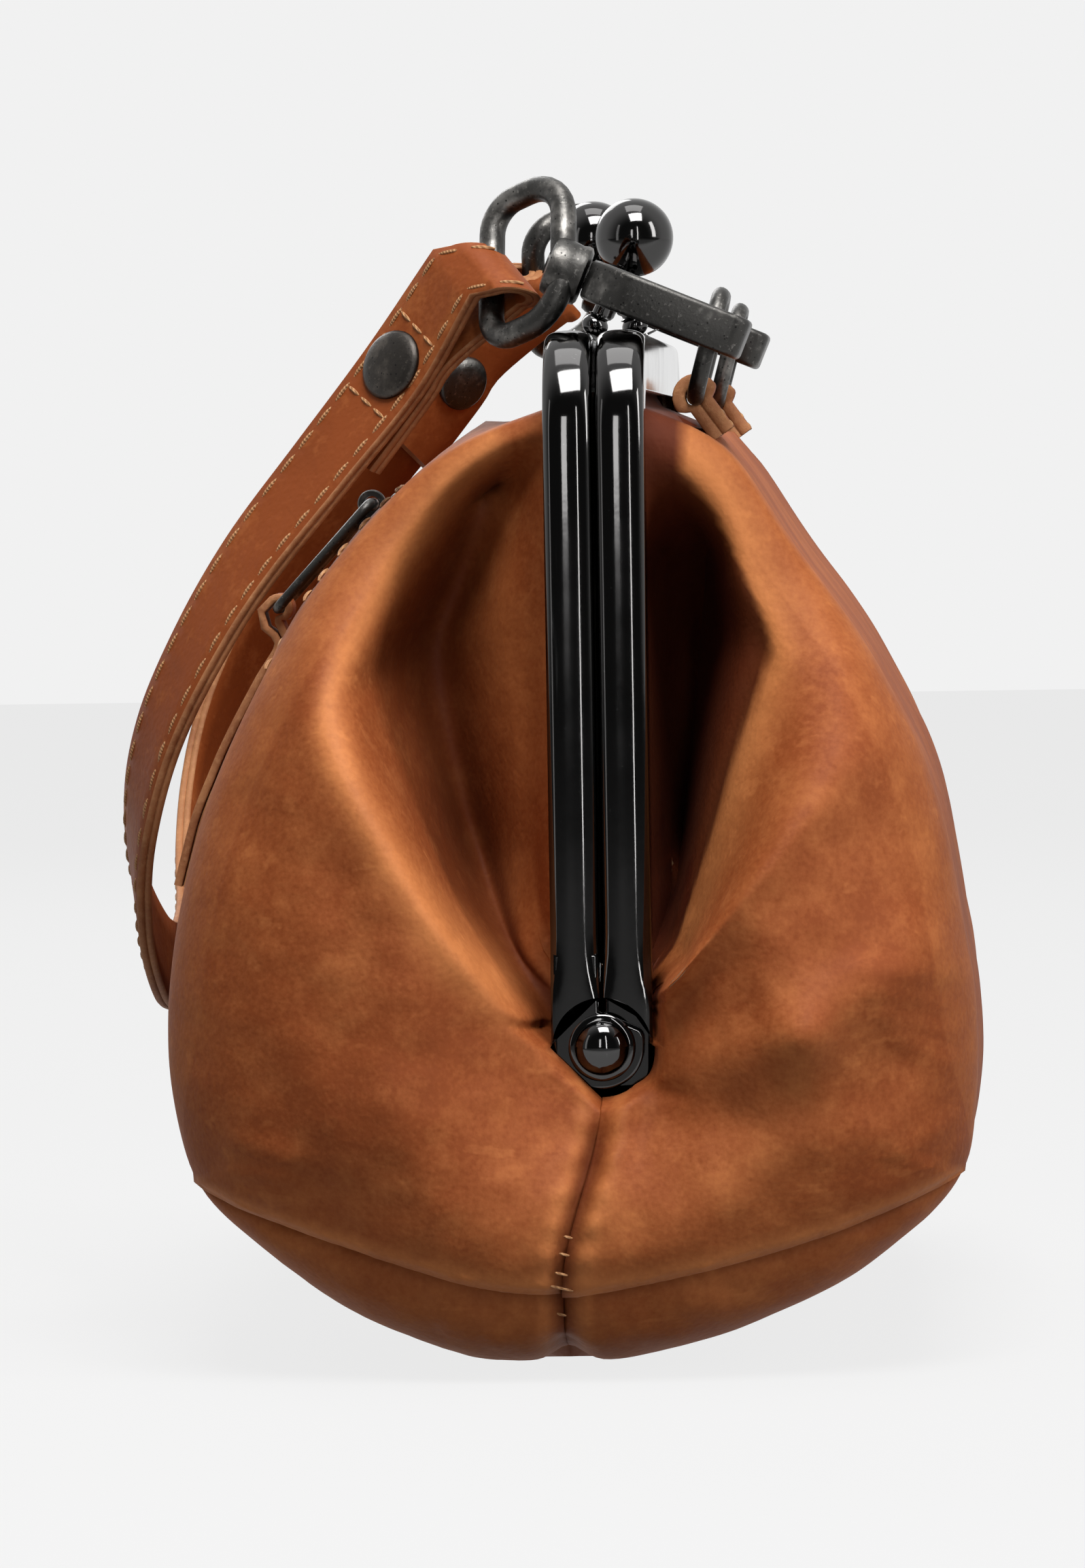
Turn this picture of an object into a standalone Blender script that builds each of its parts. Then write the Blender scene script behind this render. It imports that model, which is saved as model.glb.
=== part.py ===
"""A leather frame purse with a ball clasp, a front zip pocket and a clip-on strap.

X runs along the purse, -Y is the zip side and +Z is up; the origin is the
middle of the flat base. All lengths are in metres and all angles in degrees.
"""
import math

import bmesh
import bpy
from mathutils import Matrix, Vector

# Metal frame
FRAME_LENGTH = 0.180
FRAME_HEIGHT = 0.092
HINGE_HEIGHT = 0.042
BAR_DEPTH = 0.0063
BAR_WIDTH = 0.0080
BAR_WALL = 0.0010
BAR_GAP = 0.0004
BAR_EDGE = 0.0016
CORNER_RADIUS = 0.014
LUG_RADIUS = 0.0060
LUG_THICKNESS = 0.0018
RIVET_RADIUS = 0.0013
RIVET_FLANGE = 0.0043
RIVET_DOME = 0.0034
CORD_RADIUS = 0.0007

# Ball clasp
BALL_RADIUS = 0.0054
STEM_LENGTH = 0.0150
STEM_RADIUS = 0.0011
STEM_LEAN = 25.0
BEAD_RADIUS = 0.0014

# Leather bag
LEATHER = 0.0014
LINING = 0.0006
FRONT_DEPTH = 0.057
REAR_DEPTH = 0.049
FRONT_CURVE = 1.70
REAR_CURVE = 1.55
BELLY_HEIGHT = 0.0475
BASE_SAG = 0.0015
BASE_CURVE = 2.2
FOLD_LOW = 43.0
FOLD_RISE = 1000.0
FOLD_WIDTH = 16.0
FOLD_FADE = 0.020
LOBE_REACH = 0.013
HINGE_DISH = 0.013
STRAIGHT_HALF = 0.074
SLEEVE_STEP = 0.0022
HINGE_OPENING = 0.0095
PANEL_OPENING = 0.0125

# Zip pocket
ZIP_ANGLE = 70.0
ZIP_DROOP = 17.0
ZIP_SLOT = 0.0080
TAPE_WIDTH = 0.0058
TAPE_THICKNESS = 0.0005
TEETH_WIDTH = 0.0015
TEETH_THICKNESS = 0.0014
POCKET_THICKNESS = 0.0012
POCKET_LOW_ANGLE = 38.0
SLIDER_X = 0.010
SLIDER_LENGTH = 0.0090
SLIDER_WIDTH = 0.0070
SLIDER_PLATE = 0.0014
PULL_LENGTH = 0.0205
PULL_WIDTH = 0.0120
PULL_WIRE = 0.0007
STRIP_WIDTH = 0.0070
STRIP_THICKNESS = 0.0024
STRIP_DROP = 0.038

# Clip-on strap
HOOK_INSET = 0.019
HOOK_LENGTH = 0.0220
HOOK_WIDTH = 0.0180
HOOK_THICKNESS = 0.0054
HOOK_BAR = 0.0042
HOOK_NOSE = 0.0030
HOOK_EYE_LENGTH = 0.0140
HOOK_SLOPE = 22.5
NOSE_OUT = 0.0128
NOSE_DROP = 0.0017
GATE_PIVOT = 0.0180
GATE_PIN = 0.0008
COLLAR_RADIUS = 0.0040
COLLAR_LENGTH = 0.0052
POST_RADIUS = 0.0015
LOOP_WIRE = 0.0017
LOOP_LENGTH = 0.0240
LOOP_DEPTH = 0.0160
RING_WIRE = 0.00115
RING_WIDTH = 0.0160
RING_LENGTH = 0.0136
RING_LEAN = 15.0
RING_OUT = 0.0061
RING_DROP = 0.0088
TAB_WIDTH = 0.0074
TAB_TAIL = 0.0085
STRAP_WIDTH = 0.0120
STRAP_THICKNESS = 0.0020
STRAP_CAP = 0.0047
STRAP_POST = 0.0013
STRAP_START_IN = 0.0106
STRAP_START_DROP = 0.0044

CLEARANCE = 0.0003
RUNNING = 0.00008
COLUMNS_STRAIGHT = 3
COLUMNS_CORNER = 6
COLUMNS_SIDE = 3
COLUMNS = COLUMNS_STRAIGHT + COLUMNS_CORNER + COLUMNS_SIDE
ROUND_STEPS = 20

FRONT = -1
REAR = 1
FRAME_TOP = HINGE_HEIGHT + FRAME_HEIGHT
ARM_X = FRAME_LENGTH / 2
BAR_INNER = BAR_GAP / 2
BAR_OUTER = BAR_INNER + BAR_DEPTH
LOBE_X = ARM_X + LOBE_REACH
VALLEY_X = ARM_X - BAR_WIDTH - 0.0035
BAG_TOP = FRAME_TOP - BAR_WIDTH + BAR_EDGE
OFFSET_Y = BAR_OUTER + CLEARANCE
HINGE = Vector((0, 0, HINGE_HEIGHT))
HOOK_X = ARM_X - HOOK_INSET
NOSE_Y = BAR_OUTER + NOSE_OUT
NOSE_HEIGHT = FRAME_TOP - NOSE_DROP
RING_Y = BAR_OUTER + RING_OUT
RING_HEIGHT = FRAME_TOP - RING_DROP


def clear_scene():
    for item in list(bpy.data.objects):
        bpy.data.objects.remove(item, do_unlink=True)


def new_collection(name):
    collection = bpy.data.collections.new(name)
    bpy.context.scene.collection.children.link(collection)
    return collection


def finish_material(name, colour, roughness, metallic):
    material = bpy.data.materials.new(name)
    material.use_nodes = True
    shader = material.node_tree.nodes["Principled BSDF"]
    shader.inputs["Base Color"].default_value = (*colour, 1)
    shader.inputs["Roughness"].default_value = roughness
    shader.inputs["Metallic"].default_value = metallic
    return material


LEATHER_TAN = ((0.31, 0.10, 0.033), 0.5, 0.0)
LEATHER_EDGE = ((0.36, 0.13, 0.045), 0.6, 0.0)
GUNMETAL = ((0.035, 0.033, 0.032), 0.12, 1.0)
OLD_METAL = ((0.045, 0.044, 0.042), 0.42, 1.0)
COTTON = ((0.12, 0.06, 0.03), 0.9, 0.0)
PAPER = ((0.45, 0.33, 0.2), 0.9, 0.0)


def smooth(t):
    t = min(max(t, 0.0), 1.0)
    return t * t * (3 - 2 * t)


def mix(a, b, t):
    return a + (b - a) * t


def polar(radius, degrees):
    return radius * math.cos(math.radians(degrees)), radius * math.sin(math.radians(degrees))


def arc(centre, radius, start, end, steps):
    points = []
    for i in range(steps + 1):
        u, v = polar(radius, mix(start, end, i / steps))
        points.append((centre[0] + u, centre[1] + v))
    return points


# Objects

def add_object(name, mesh, finish, origin=(0, 0, 0)):
    """Link a mesh given in world coordinates, with its origin at the given point."""
    mesh.name = name
    mesh.transform(Matrix.Translation(-Vector(origin)))
    mesh.shade_smooth()
    mesh.set_sharp_from_angle(angle=math.radians(35))
    item = bpy.data.objects.new(name, mesh)
    item.location = origin
    item.data.materials.append(finish_material(name, *finish))
    parts.objects.link(item)
    return item


def mesh_of(bm):
    mesh = bpy.data.meshes.new("shape")
    bmesh.ops.recalc_face_normals(bm, faces=bm.faces)
    bm.to_mesh(mesh)
    bm.free()
    return mesh


def evaluated_mesh(item):
    """The mesh of an object with its modifiers, in world space; the object is removed."""
    bpy.context.view_layer.update()
    graph = bpy.context.evaluated_depsgraph_get()
    mesh = bpy.data.meshes.new_from_object(item.evaluated_get(graph), depsgraph=graph)
    mesh.transform(item.matrix_world)
    bpy.data.objects.remove(item, do_unlink=True)
    bm = bmesh.new()
    bm.from_mesh(mesh)
    bmesh.ops.remove_doubles(bm, verts=bm.verts, dist=1e-7)
    bpy.data.meshes.remove(mesh)
    return mesh_of(bm)


def combine(base, tools, operation):
    """The mesh of base with each tool mesh joined to it or cut from it."""
    body = bpy.data.objects.new("body", base)
    cutters.objects.link(body)
    helpers = []
    for tool in tools:
        helper = bpy.data.objects.new("tool", tool)
        helper.display_type = "WIRE"
        helper.hide_render = True
        cutters.objects.link(helper)
        helpers.append(helper)
        boolean = body.modifiers.new("combine", "BOOLEAN")
        boolean.operation = operation
        boolean.object = helper
    mesh = evaluated_mesh(body)
    for helper in helpers:
        bpy.data.objects.remove(helper, do_unlink=True)
    return mesh


def grid_mesh(rows, closed_rows=False, caps=False, holes=()):
    """A sheet, or a closed tube with caps, through rows of points."""
    bm = bmesh.new()
    grid = [[bm.verts.new(point) for point in row] for row in rows]
    count = len(rows[0])
    for i in range(len(rows) - 1):
        for j in range(count if closed_rows else count - 1):
            if (i, j) in holes:
                continue
            k = (j + 1) % count
            bm.faces.new((grid[i][j], grid[i][k], grid[i + 1][k], grid[i + 1][j]))
    if caps:
        bm.faces.new(grid[0])
        bm.faces.new(grid[-1])
    loose = [vert for vert in bm.verts if not vert.link_faces]
    bmesh.ops.delete(bm, geom=loose, context="VERTS")
    return mesh_of(bm)


def add_sheet(name, rows, thickness, finish, towards, holes=(), origin=(0, 0, 0)):
    """A sheet that gets its thickness on the side of the given point."""
    mesh = grid_mesh(rows, holes=holes)
    face = mesh.polygons[0]
    inwards = (Vector(towards) - face.center).dot(face.normal) > 0
    item = add_object(name, mesh, finish, origin)
    wall = item.modifiers.new("wall", "SOLIDIFY")
    wall.thickness = thickness
    wall.offset = 1.0 if inwards else -1.0
    wall.use_even_offset = True
    return item


def plate_mesh(outline, thickness, matrix, holes=()):
    """A flat outline in its own plane, given thickness and placed by a matrix."""
    curve = bpy.data.curves.new("outline", "CURVE")
    curve.dimensions = "2D"
    curve.fill_mode = "BOTH"
    curve.extrude = thickness / 2
    for loop in (outline, *holes):
        spline = curve.splines.new("POLY")
        spline.points.add(len(loop) - 1)
        for point, (u, v) in zip(spline.points, loop):
            point.co = (u, v, 0, 1)
        spline.use_cyclic_u = True
    item = bpy.data.objects.new("outline", curve)
    item.matrix_world = matrix
    cutters.objects.link(item)
    return evaluated_mesh(item)


def wire_mesh(points, radius, closed, resolution=2):
    curve = bpy.data.curves.new("wire", "CURVE")
    curve.dimensions = "3D"
    curve.bevel_depth = radius
    curve.bevel_resolution = resolution
    curve.use_fill_caps = not closed
    spline = curve.splines.new("POLY")
    spline.points.add(len(points) - 1)
    for point, place in zip(spline.points, points):
        point.co = (*place, 1)
    spline.use_cyclic_u = closed
    item = bpy.data.objects.new("wire", curve)
    cutters.objects.link(item)
    return evaluated_mesh(item)


def turned_mesh(profile, matrix, steps=ROUND_STEPS):
    """A profile of (radius, height) points, listed downwards, turned about local Z."""
    bm = bmesh.new()
    verts = [bm.verts.new((radius, 0, height)) for radius, height in profile]
    for first, second in zip(verts, verts[1:]):
        bm.edges.new((first, second))
    mesh = bpy.data.meshes.new("profile")
    bm.to_mesh(mesh)
    bm.free()
    item = bpy.data.objects.new("turned", mesh)
    screw = item.modifiers.new("turn", "SCREW")
    screw.steps = steps
    screw.render_steps = steps
    screw.use_merge_vertices = True
    screw.merge_threshold = 1e-6
    item.matrix_world = matrix
    cutters.objects.link(item)
    return evaluated_mesh(item)


def cylinder_mesh(radius, length, matrix, steps=ROUND_STEPS):
    bm = bmesh.new()
    bmesh.ops.create_cone(bm, cap_ends=True, segments=steps, radius1=radius, radius2=radius,
                          depth=length, matrix=matrix)
    return mesh_of(bm)


def box_mesh(size, matrix):
    bm = bmesh.new()
    bmesh.ops.create_cube(bm, size=1, matrix=matrix @ Matrix.Diagonal((*size, 1)))
    return mesh_of(bm)


def placement(origin, x_axis, y_axis, z_axis):
    matrix = Matrix((x_axis, y_axis, z_axis)).transposed().to_4x4()
    matrix.translation = origin
    return matrix


def mirrored(mesh):
    """A copy of a near-end mesh for the far end."""
    bm = bmesh.new()
    bm.from_mesh(mesh)
    bmesh.ops.scale(bm, vec=(-1, 1, 1), verts=bm.verts)
    return mesh_of(bm)


def add_pair(name, mesh, finish, origin=(0, 0, 0)):
    """The same piece at both ends of the purse."""
    far = mirrored(mesh)
    add_object(name + "_near", mesh, finish, origin)
    add_object(name + "_far", far, finish, (-origin[0], origin[1], origin[2]))


def axis_empty(name, origin, children):
    empty = bpy.data.objects.new(name, None)
    empty.empty_display_size = 0.02
    empty.location = origin
    parts.objects.link(empty)
    bpy.context.view_layer.update()
    for child in children:
        item = bpy.data.objects[child]
        item.parent = empty
        item.matrix_parent_inverse = empty.matrix_world.inverted()


# Leather bag: ribs fan out about the hinge axis, from the frame down to the base

def side_depth(side, height):
    """How far the leather stands from the middle plane at a height."""
    depth = FRONT_DEPTH if side == FRONT else REAR_DEPTH
    power = FRONT_CURVE if side == FRONT else REAR_CURVE
    if height >= BELLY_HEIGHT:
        rise = min((height - BELLY_HEIGHT) / (BAG_TOP - BELLY_HEIGHT), 1.0)
        return depth * (1 - rise ** power) ** (1 / power)
    fall = min((BELLY_HEIGHT - height) / (BELLY_HEIGHT + BASE_SAG), 1.0)
    return depth * (1 - fall ** BASE_CURVE) ** (1 / BASE_CURVE)


def rib_shift(angle):
    """Ribs near the frame stand clear of the bar's outer face; those that slide over the base don't."""
    return OFFSET_Y * smooth((angle - 34) / 42)


def rib_radius(side, angle):
    """Distance from the hinge axis to the leather in the middle of the purse."""
    cosine = math.cos(math.radians(angle))
    sine = math.sin(math.radians(angle))
    low, high = 0.0, 0.15
    if sine < 0:
        high = min(high, HINGE_HEIGHT / -sine)
    for _ in range(50):
        middle = (low + high) / 2
        reach = middle * cosine + rib_shift(angle)
        if reach < side_depth(side, HINGE_HEIGHT + middle * sine):
            low = middle
        else:
            high = middle
    return high


def end_fold(side, angle, radius):
    """How far the front panel's end is folded in beside the frame: 0 on the lobe, 1 in the fold."""
    if side == REAR:
        return 0.0
    crease = max(FOLD_LOW, FOLD_RISE * radius)
    return smooth((angle - crease) / FOLD_WIDTH) * smooth((radius - PANEL_OPENING) / FOLD_FADE)


def rib_point(side, angle, column, inset=0.0, opening=PANEL_OPENING):
    """A point on the rib at an angle; columns run from the far hinge to the near one."""
    radius = rib_radius(side, angle) - inset
    valley = smooth((angle - 48) / 34) if side == FRONT else smooth((angle - 42) / 36)
    reach = mix(LOBE_X, VALLEY_X, valley) - inset
    straight = min(STRAIGHT_HALF, reach - 0.004)
    corner_x = reach - straight
    corner_r = mix(0.62 * radius, 0.010, valley)
    step = abs(column)
    if step <= COLUMNS_STRAIGHT:
        along = straight * step / COLUMNS_STRAIGHT
        out = radius
    elif step <= COLUMNS_STRAIGHT + COLUMNS_CORNER:
        turn = 90 * (step - COLUMNS_STRAIGHT) / COLUMNS_CORNER
        along = straight + polar(corner_x, turn)[1]
        out = radius - corner_r + polar(corner_r, turn)[0]
    else:
        share = (step - COLUMNS_STRAIGHT - COLUMNS_CORNER) / COLUMNS_SIDE
        along = reach
        out = mix(radius - corner_r, opening, share)
    dish = HINGE_DISH * (1 - valley) * (1 - smooth((out - LUG_RADIUS) / 0.026))
    fold = end_fold(side, angle, out) if step > COLUMNS_STRAIGHT else 0.0
    along = mix(along - dish, min(along - dish, VALLEY_X), fold)
    y, z = polar(out, angle)
    x = math.copysign(along, column) if column else 0.0
    return Vector((x, side * (y + rib_shift(angle)), HINGE_HEIGHT + z))


def column_range():
    return range(-COLUMNS, COLUMNS + 1)


def rib(side, angle, inset=0.0, opening=PANEL_OPENING):
    return [rib_point(side, angle, column, inset, opening) for column in column_range()]


def frame_edge(side, across, depth, opening):
    """A line along the frame's channel, at a depth from the bar's outer face."""
    reach = ARM_X - depth
    top = FRAME_TOP - depth
    corner = max(CORNER_RADIUS - depth, 0.003)
    bottom = HINGE_HEIGHT + opening
    points = []
    for column in column_range():
        step = abs(column)
        if step <= COLUMNS_STRAIGHT:
            x, z = (reach - corner) * step / COLUMNS_STRAIGHT, top
        elif step <= COLUMNS_STRAIGHT + COLUMNS_CORNER:
            turn = 90 * (step - COLUMNS_STRAIGHT) / COLUMNS_CORNER
            u, v = polar(corner, turn)
            x, z = reach - corner + v, top - corner + u
        else:
            share = (step - COLUMNS_STRAIGHT - COLUMNS_CORNER) / COLUMNS_SIDE
            x, z = reach, mix(top - corner, bottom, share)
        points.append(Vector((math.copysign(x, column), side * across, z)))
    return points


def zip_angle(column):
    """The zip runs level and droops towards the ends of the purse."""
    return ZIP_ANGLE - ZIP_DROOP * smooth(abs(column) - COLUMNS_STRAIGHT + 1)


ZIP_HALF_ANGLE = math.degrees(ZIP_SLOT / 2 / rib_radius(FRONT, ZIP_ANGLE))


def panel_rows(side):
    """Rows of an upper leather panel, from its lower hem up into the frame."""
    lower = 41
    rows = [rib(side, angle) for angle in (2, 11, 21, 31, lower)]
    for share in (0.5, 1.0):
        row = []
        for column in column_range():
            angle = mix(lower, zip_angle(column) - ZIP_HALF_ANGLE, share)
            row.append(rib_point(side, angle, column))
        rows.append(row)
    rows.append([rib_point(side, zip_angle(column) + ZIP_HALF_ANGLE, column) for column in column_range()])
    rows += [rib(side, angle) for angle in (77, 81, 85)]
    seat = BAR_INNER + BAR_WALL + CLEARANCE + LEATHER
    mouth = BAR_WIDTH + LEATHER
    rows.append(frame_edge(side, OFFSET_Y + LEATHER, mouth + 0.0028, PANEL_OPENING))
    rows.append(frame_edge(side, mix(seat, OFFSET_Y, 0.55), mouth + 0.0022, PANEL_OPENING))
    rows.append(frame_edge(side, seat, mouth - 0.0002, PANEL_OPENING))
    rows.append(frame_edge(side, seat, BAR_WALL + 0.0026, PANEL_OPENING))
    return rows


def build_leather():
    zip_row = 6
    slot = {(zip_row, COLUMNS + column) for column in range(-COLUMNS_STRAIGHT, COLUMNS_STRAIGHT)}
    inside = (0, 0, HINGE_HEIGHT)
    add_sheet("front_leather", panel_rows(FRONT), LEATHER, LEATHER_TAN, inside, slot, HINGE)
    add_sheet("rear_leather", panel_rows(REAR), LEATHER, LEATHER_TAN, inside, (), HINGE)
    add_bowl("base_leather", 0.0, 6.0, HINGE_OPENING, LEATHER, LEATHER_TAN)
    add_bowl("lining", LEATHER + 0.0005, 3.0, HINGE_OPENING + LEATHER, LINING, COTTON)


def add_bowl(name, inset, rim, opening, thickness, finish):
    """The lower half of the bag, with its rim inside the upper panels."""
    angles = [-90, -80, -71.5, -62, -50, -39, -28, -17, -6, rim]
    rows = []
    for angle in reversed(angles[1:]):
        rows.append(rib(FRONT, angle, inset + sleeve_inset(angle), opening))
    rows.append(rib(FRONT, angles[0], inset, opening))
    for angle in angles[1:]:
        rows.append(rib(REAR, angle, inset + sleeve_inset(angle), opening))
    add_sheet(name, rows, thickness, finish, HINGE)


def sleeve_inset(angle):
    """The lower half steps in where the panels slide over it."""
    return SLEEVE_STEP * smooth((angle + 55) / 27)


# Metal frame

def bar_section(side):
    """Channel section: distance from the middle plane, and depth from the outer face."""
    outer = [(BAR_OUTER, BAR_WIDTH)]
    outer += arc((BAR_OUTER - BAR_EDGE, BAR_EDGE), BAR_EDGE, 0, -90, 3)
    outer += arc((BAR_INNER + BAR_EDGE, BAR_EDGE), BAR_EDGE, -90, -180, 3)
    outer.append((BAR_INNER, BAR_WIDTH))
    near, far = BAR_INNER + BAR_WALL, BAR_OUTER - BAR_WALL
    inner = [(near, BAR_WIDTH), (near, BAR_WALL), (far, BAR_WALL), (far, BAR_WIDTH)]
    return [(side * across, depth) for across, depth in outer + inner]


def bar_stations():
    """Points along the bar's outer face with the direction into the bar."""
    stations = []
    bottom = HINGE_HEIGHT + LUG_RADIUS + CLEARANCE
    middle = (ARM_X - CORNER_RADIUS, FRAME_TOP - CORNER_RADIUS)
    for i in range(7):
        u, v = polar(1, 15 * i)
        stations.append((middle[0] + CORNER_RADIUS * u, middle[1] + CORNER_RADIUS * v, -u, -v))
    right = [(ARM_X, bottom, -1, 0)] + stations
    left = [(-x, z, -u, v) for x, z, u, v in reversed(right)]
    return right + left


def lug_mesh(side, x_low, x_high):
    """The flat lug at the foot of an arm, with its rivet hole."""
    top = LUG_RADIUS + 0.0040
    outline = [(side * (BAR_OUTER - 0.0002), top)]
    outline += [(side * u, v) for u, v in arc((0, 0), LUG_RADIUS, 0, -270, 18)]
    outline += [(side * (BAR_INNER + 0.0002), LUG_RADIUS), (side * (BAR_INNER + 0.0002), top)]
    hole = arc((0, 0), RIVET_RADIUS + RUNNING, 0, 342, 19)
    middle = Vector(((x_low + x_high) / 2, 0, HINGE_HEIGHT))
    matrix = placement(middle, Vector((0, 1, 0)), Vector((0, 0, 1)), Vector((1, 0, 0)))
    return plate_mesh(outline, x_high - x_low, matrix, [hole])


def lug_layers(side):
    """Front lugs lie outside the rear ones."""
    outer = ARM_X - 0.0002
    if side == REAR:
        outer -= LUG_THICKNESS + CLEARANCE
    return outer - LUG_THICKNESS, outer


def build_frame(side, name):
    section = bar_section(side)
    rows = []
    for x, z, u, v in bar_stations():
        rows.append([(x + u * depth, across, z + v * depth) for across, depth in section])
    bar = grid_mesh(rows, closed_rows=True, caps=True)
    low, high = lug_layers(side)
    lugs = [lug_mesh(side, low, high), lug_mesh(side, -high, -low)]
    add_object(name + "_frame", combine(bar, lugs, "UNION"), GUNMETAL, HINGE)
    cord_across = BAR_OUTER - BAR_WALL - CLEARANCE - CORD_RADIUS
    route = frame_edge(side, cord_across, BAR_WALL + 0.0022, LUG_RADIUS + 0.0060)
    add_object(name + "_cord", wire_mesh(route, CORD_RADIUS, False, 1), PAPER, HINGE)


def build_hinge_rivets():
    shank_end = lug_layers(REAR)[0] - CLEARANCE
    head = ARM_X - 0.0002 + CLEARANCE
    flange = head + 0.0005
    profile = [(0.0, flange + 0.0027)]
    profile += [(RIVET_DOME * math.sin(math.radians(a)), flange + 0.0027 * math.cos(math.radians(a)))
                for a in (25, 48, 70)]
    profile += [(RIVET_DOME, flange), (RIVET_FLANGE, flange - 0.0001), (RIVET_FLANGE, head)]
    profile += [(RIVET_RADIUS, head), (RIVET_RADIUS, shank_end), (0.0026, shank_end)]
    profile += [(0.0024, shank_end - 0.0009), (0.0, shank_end - 0.0010)]
    matrix = placement(HINGE, Vector((0, 1, 0)), Vector((0, 0, 1)), Vector((1, 0, 0)))
    add_pair("hinge_rivet", turned_mesh(profile, matrix), GUNMETAL)


def build_clasp(side, name):
    """A ball on a leaning, beaded stem; the two balls sit side by side along the frame."""
    centre = STEM_LENGTH
    collar = centre - BALL_RADIUS - 0.0006
    bead = BEAD_RADIUS + 0.0004
    profile = [(0.0, centre + BALL_RADIUS)]
    for turn in range(18, 160, 18):
        u, v = polar(BALL_RADIUS, 90 - turn)
        profile.append((u, centre + v))
    profile += [(0.0021, collar), (0.0021, collar - 0.0010), (STEM_RADIUS, collar - 0.0016)]
    for turn in range(50, 171, 30):
        u, v = polar(BEAD_RADIUS, 90 - turn)
        profile.append((u, bead + v))
    profile.append((0.0, bead - BEAD_RADIUS))
    foot = Vector((-side * (BALL_RADIUS + CLEARANCE), side * (BAR_INNER + BAR_DEPTH / 2), FRAME_TOP))
    matrix = Matrix.Translation(foot) @ Matrix.Rotation(math.radians(side * STEM_LEAN), 4, "X")
    add_object(name + "_clasp", turned_mesh(profile, matrix, 18), GUNMETAL, HINGE)


# Zip pocket

def zip_station(column_share, angle_shift, raised):
    """A point on the front leather beside the zip, raised off its outer face."""
    column = column_share * COLUMNS_STRAIGHT
    low = math.floor(min(abs(column), COLUMNS_STRAIGHT - 1e-6))
    part = abs(column) - low
    sign = -1 if column < 0 else 1

    def at(angle_extra):
        first = rib_point(FRONT, zip_angle(low) + angle_extra, sign * low)
        second = rib_point(FRONT, zip_angle(low + 1) + angle_extra, sign * (low + 1))
        return first.lerp(second, part)

    point = at(angle_shift)
    slope = (at(angle_shift + 1) - at(angle_shift - 1)).normalized()
    normal = Vector((0, -slope.z, slope.y)) if slope.z > 0 else Vector((0, slope.z, -slope.y))
    return point + normal.normalized() * raised


def slope_angle(distance):
    """An angle on the fan for a distance along the slope at the zip."""
    return math.degrees(distance / rib_radius(FRONT, ZIP_ANGLE))


def zip_strip(low, high, bottom, top):
    """A straight-sided strip along the zip, between distances across and heights."""
    rows = []
    for i in range(-6, 7):
        share = 0.965 * i / 6
        rows.append([zip_station(share, slope_angle(low), bottom),
                     zip_station(share, slope_angle(high), bottom),
                     zip_station(share, slope_angle(high), top),
                     zip_station(share, slope_angle(low), top)])
    return grid_mesh(rows, closed_rows=True, caps=True)


def zip_frame(x):
    """Axes at the straight part of the zip: along, down the slope, and off the leather."""
    point = rib_point(FRONT, ZIP_ANGLE, 0)
    below = rib_point(FRONT, ZIP_ANGLE - 1, 0)
    above = rib_point(FRONT, ZIP_ANGLE + 1, 0)
    down = (below - above).normalized()
    off = down.cross(Vector((1, 0, 0))).normalized()
    if off.y > 0:
        off = -off
    return Vector((x, point.y, point.z)), Vector((1, 0, 0)), down, off


PIVOT_RAISE = SLIDER_PLATE + CLEARANCE + 0.0016


def pull_pivot():
    point, _, _, off = zip_frame(SLIDER_X)
    return point + off * PIVOT_RAISE


def pull_end():
    return pull_pivot() + zip_frame(SLIDER_X)[2] * (PULL_LENGTH - 2 * PULL_WIRE)


def build_zip():
    tape_top = -LEATHER - 0.0008
    tape_bottom = tape_top - TAPE_THICKNESS
    tape_start = 0.0006
    teeth_gap = CLEARANCE / 2
    for name, sign in (("upper", 1), ("lower", -1)):
        low, high = sorted((sign * tape_start, sign * (tape_start + TAPE_WIDTH)))
        add_object("zip_tape_" + name, zip_strip(low, high, tape_bottom, tape_top), COTTON, HINGE)
        low, high = sorted((sign * teeth_gap, sign * (teeth_gap + TEETH_WIDTH)))
        bottom = tape_top + CLEARANCE
        teeth = zip_strip(low, high, bottom, bottom + TEETH_THICKNESS)
        add_object("zip_teeth_" + name, teeth, LEATHER_EDGE, HINGE)
    pocket = []
    for angle in (75, 68, 60, 52, 45, POCKET_LOW_ANGLE):
        row = []
        for share in (-1, -0.5, 0, 0.5, 1):
            point = rib_point(FRONT, angle, 0, inset=1.45 * (CLEARANCE - tape_bottom))
            row.append(Vector((share * (STRAIGHT_HALF - 0.006), point.y, point.z)))
        pocket.append(row)
    add_sheet("pocket_bag", pocket, POCKET_THICKNESS, COTTON, HINGE, (), HINGE)


def build_slider():
    point, along, down, off = zip_frame(SLIDER_X)
    lowest = CLEARANCE + 0.0001
    plate_middle = point + off * (lowest + SLIDER_PLATE / 2)
    plate = box_mesh((SLIDER_LENGTH, SLIDER_WIDTH, SLIDER_PLATE),
                     placement(plate_middle, along, down, off))
    hole = PULL_WIRE + CLEARANCE
    arch_outer = hole + 0.0009
    arch = arc((0, 0), arch_outer, 0, 180, 8) + [(-arch_outer, -0.0020), (arch_outer, -0.0020)]
    matrix = placement(pull_pivot(), down, off, down.cross(off))
    bridge = plate_mesh(arch, 0.0030, matrix, [arc((0, 0), hole, 0, 330, 11)])
    add_object("zip_slider", combine(plate, [bridge], "UNION"), OLD_METAL, point)


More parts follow.
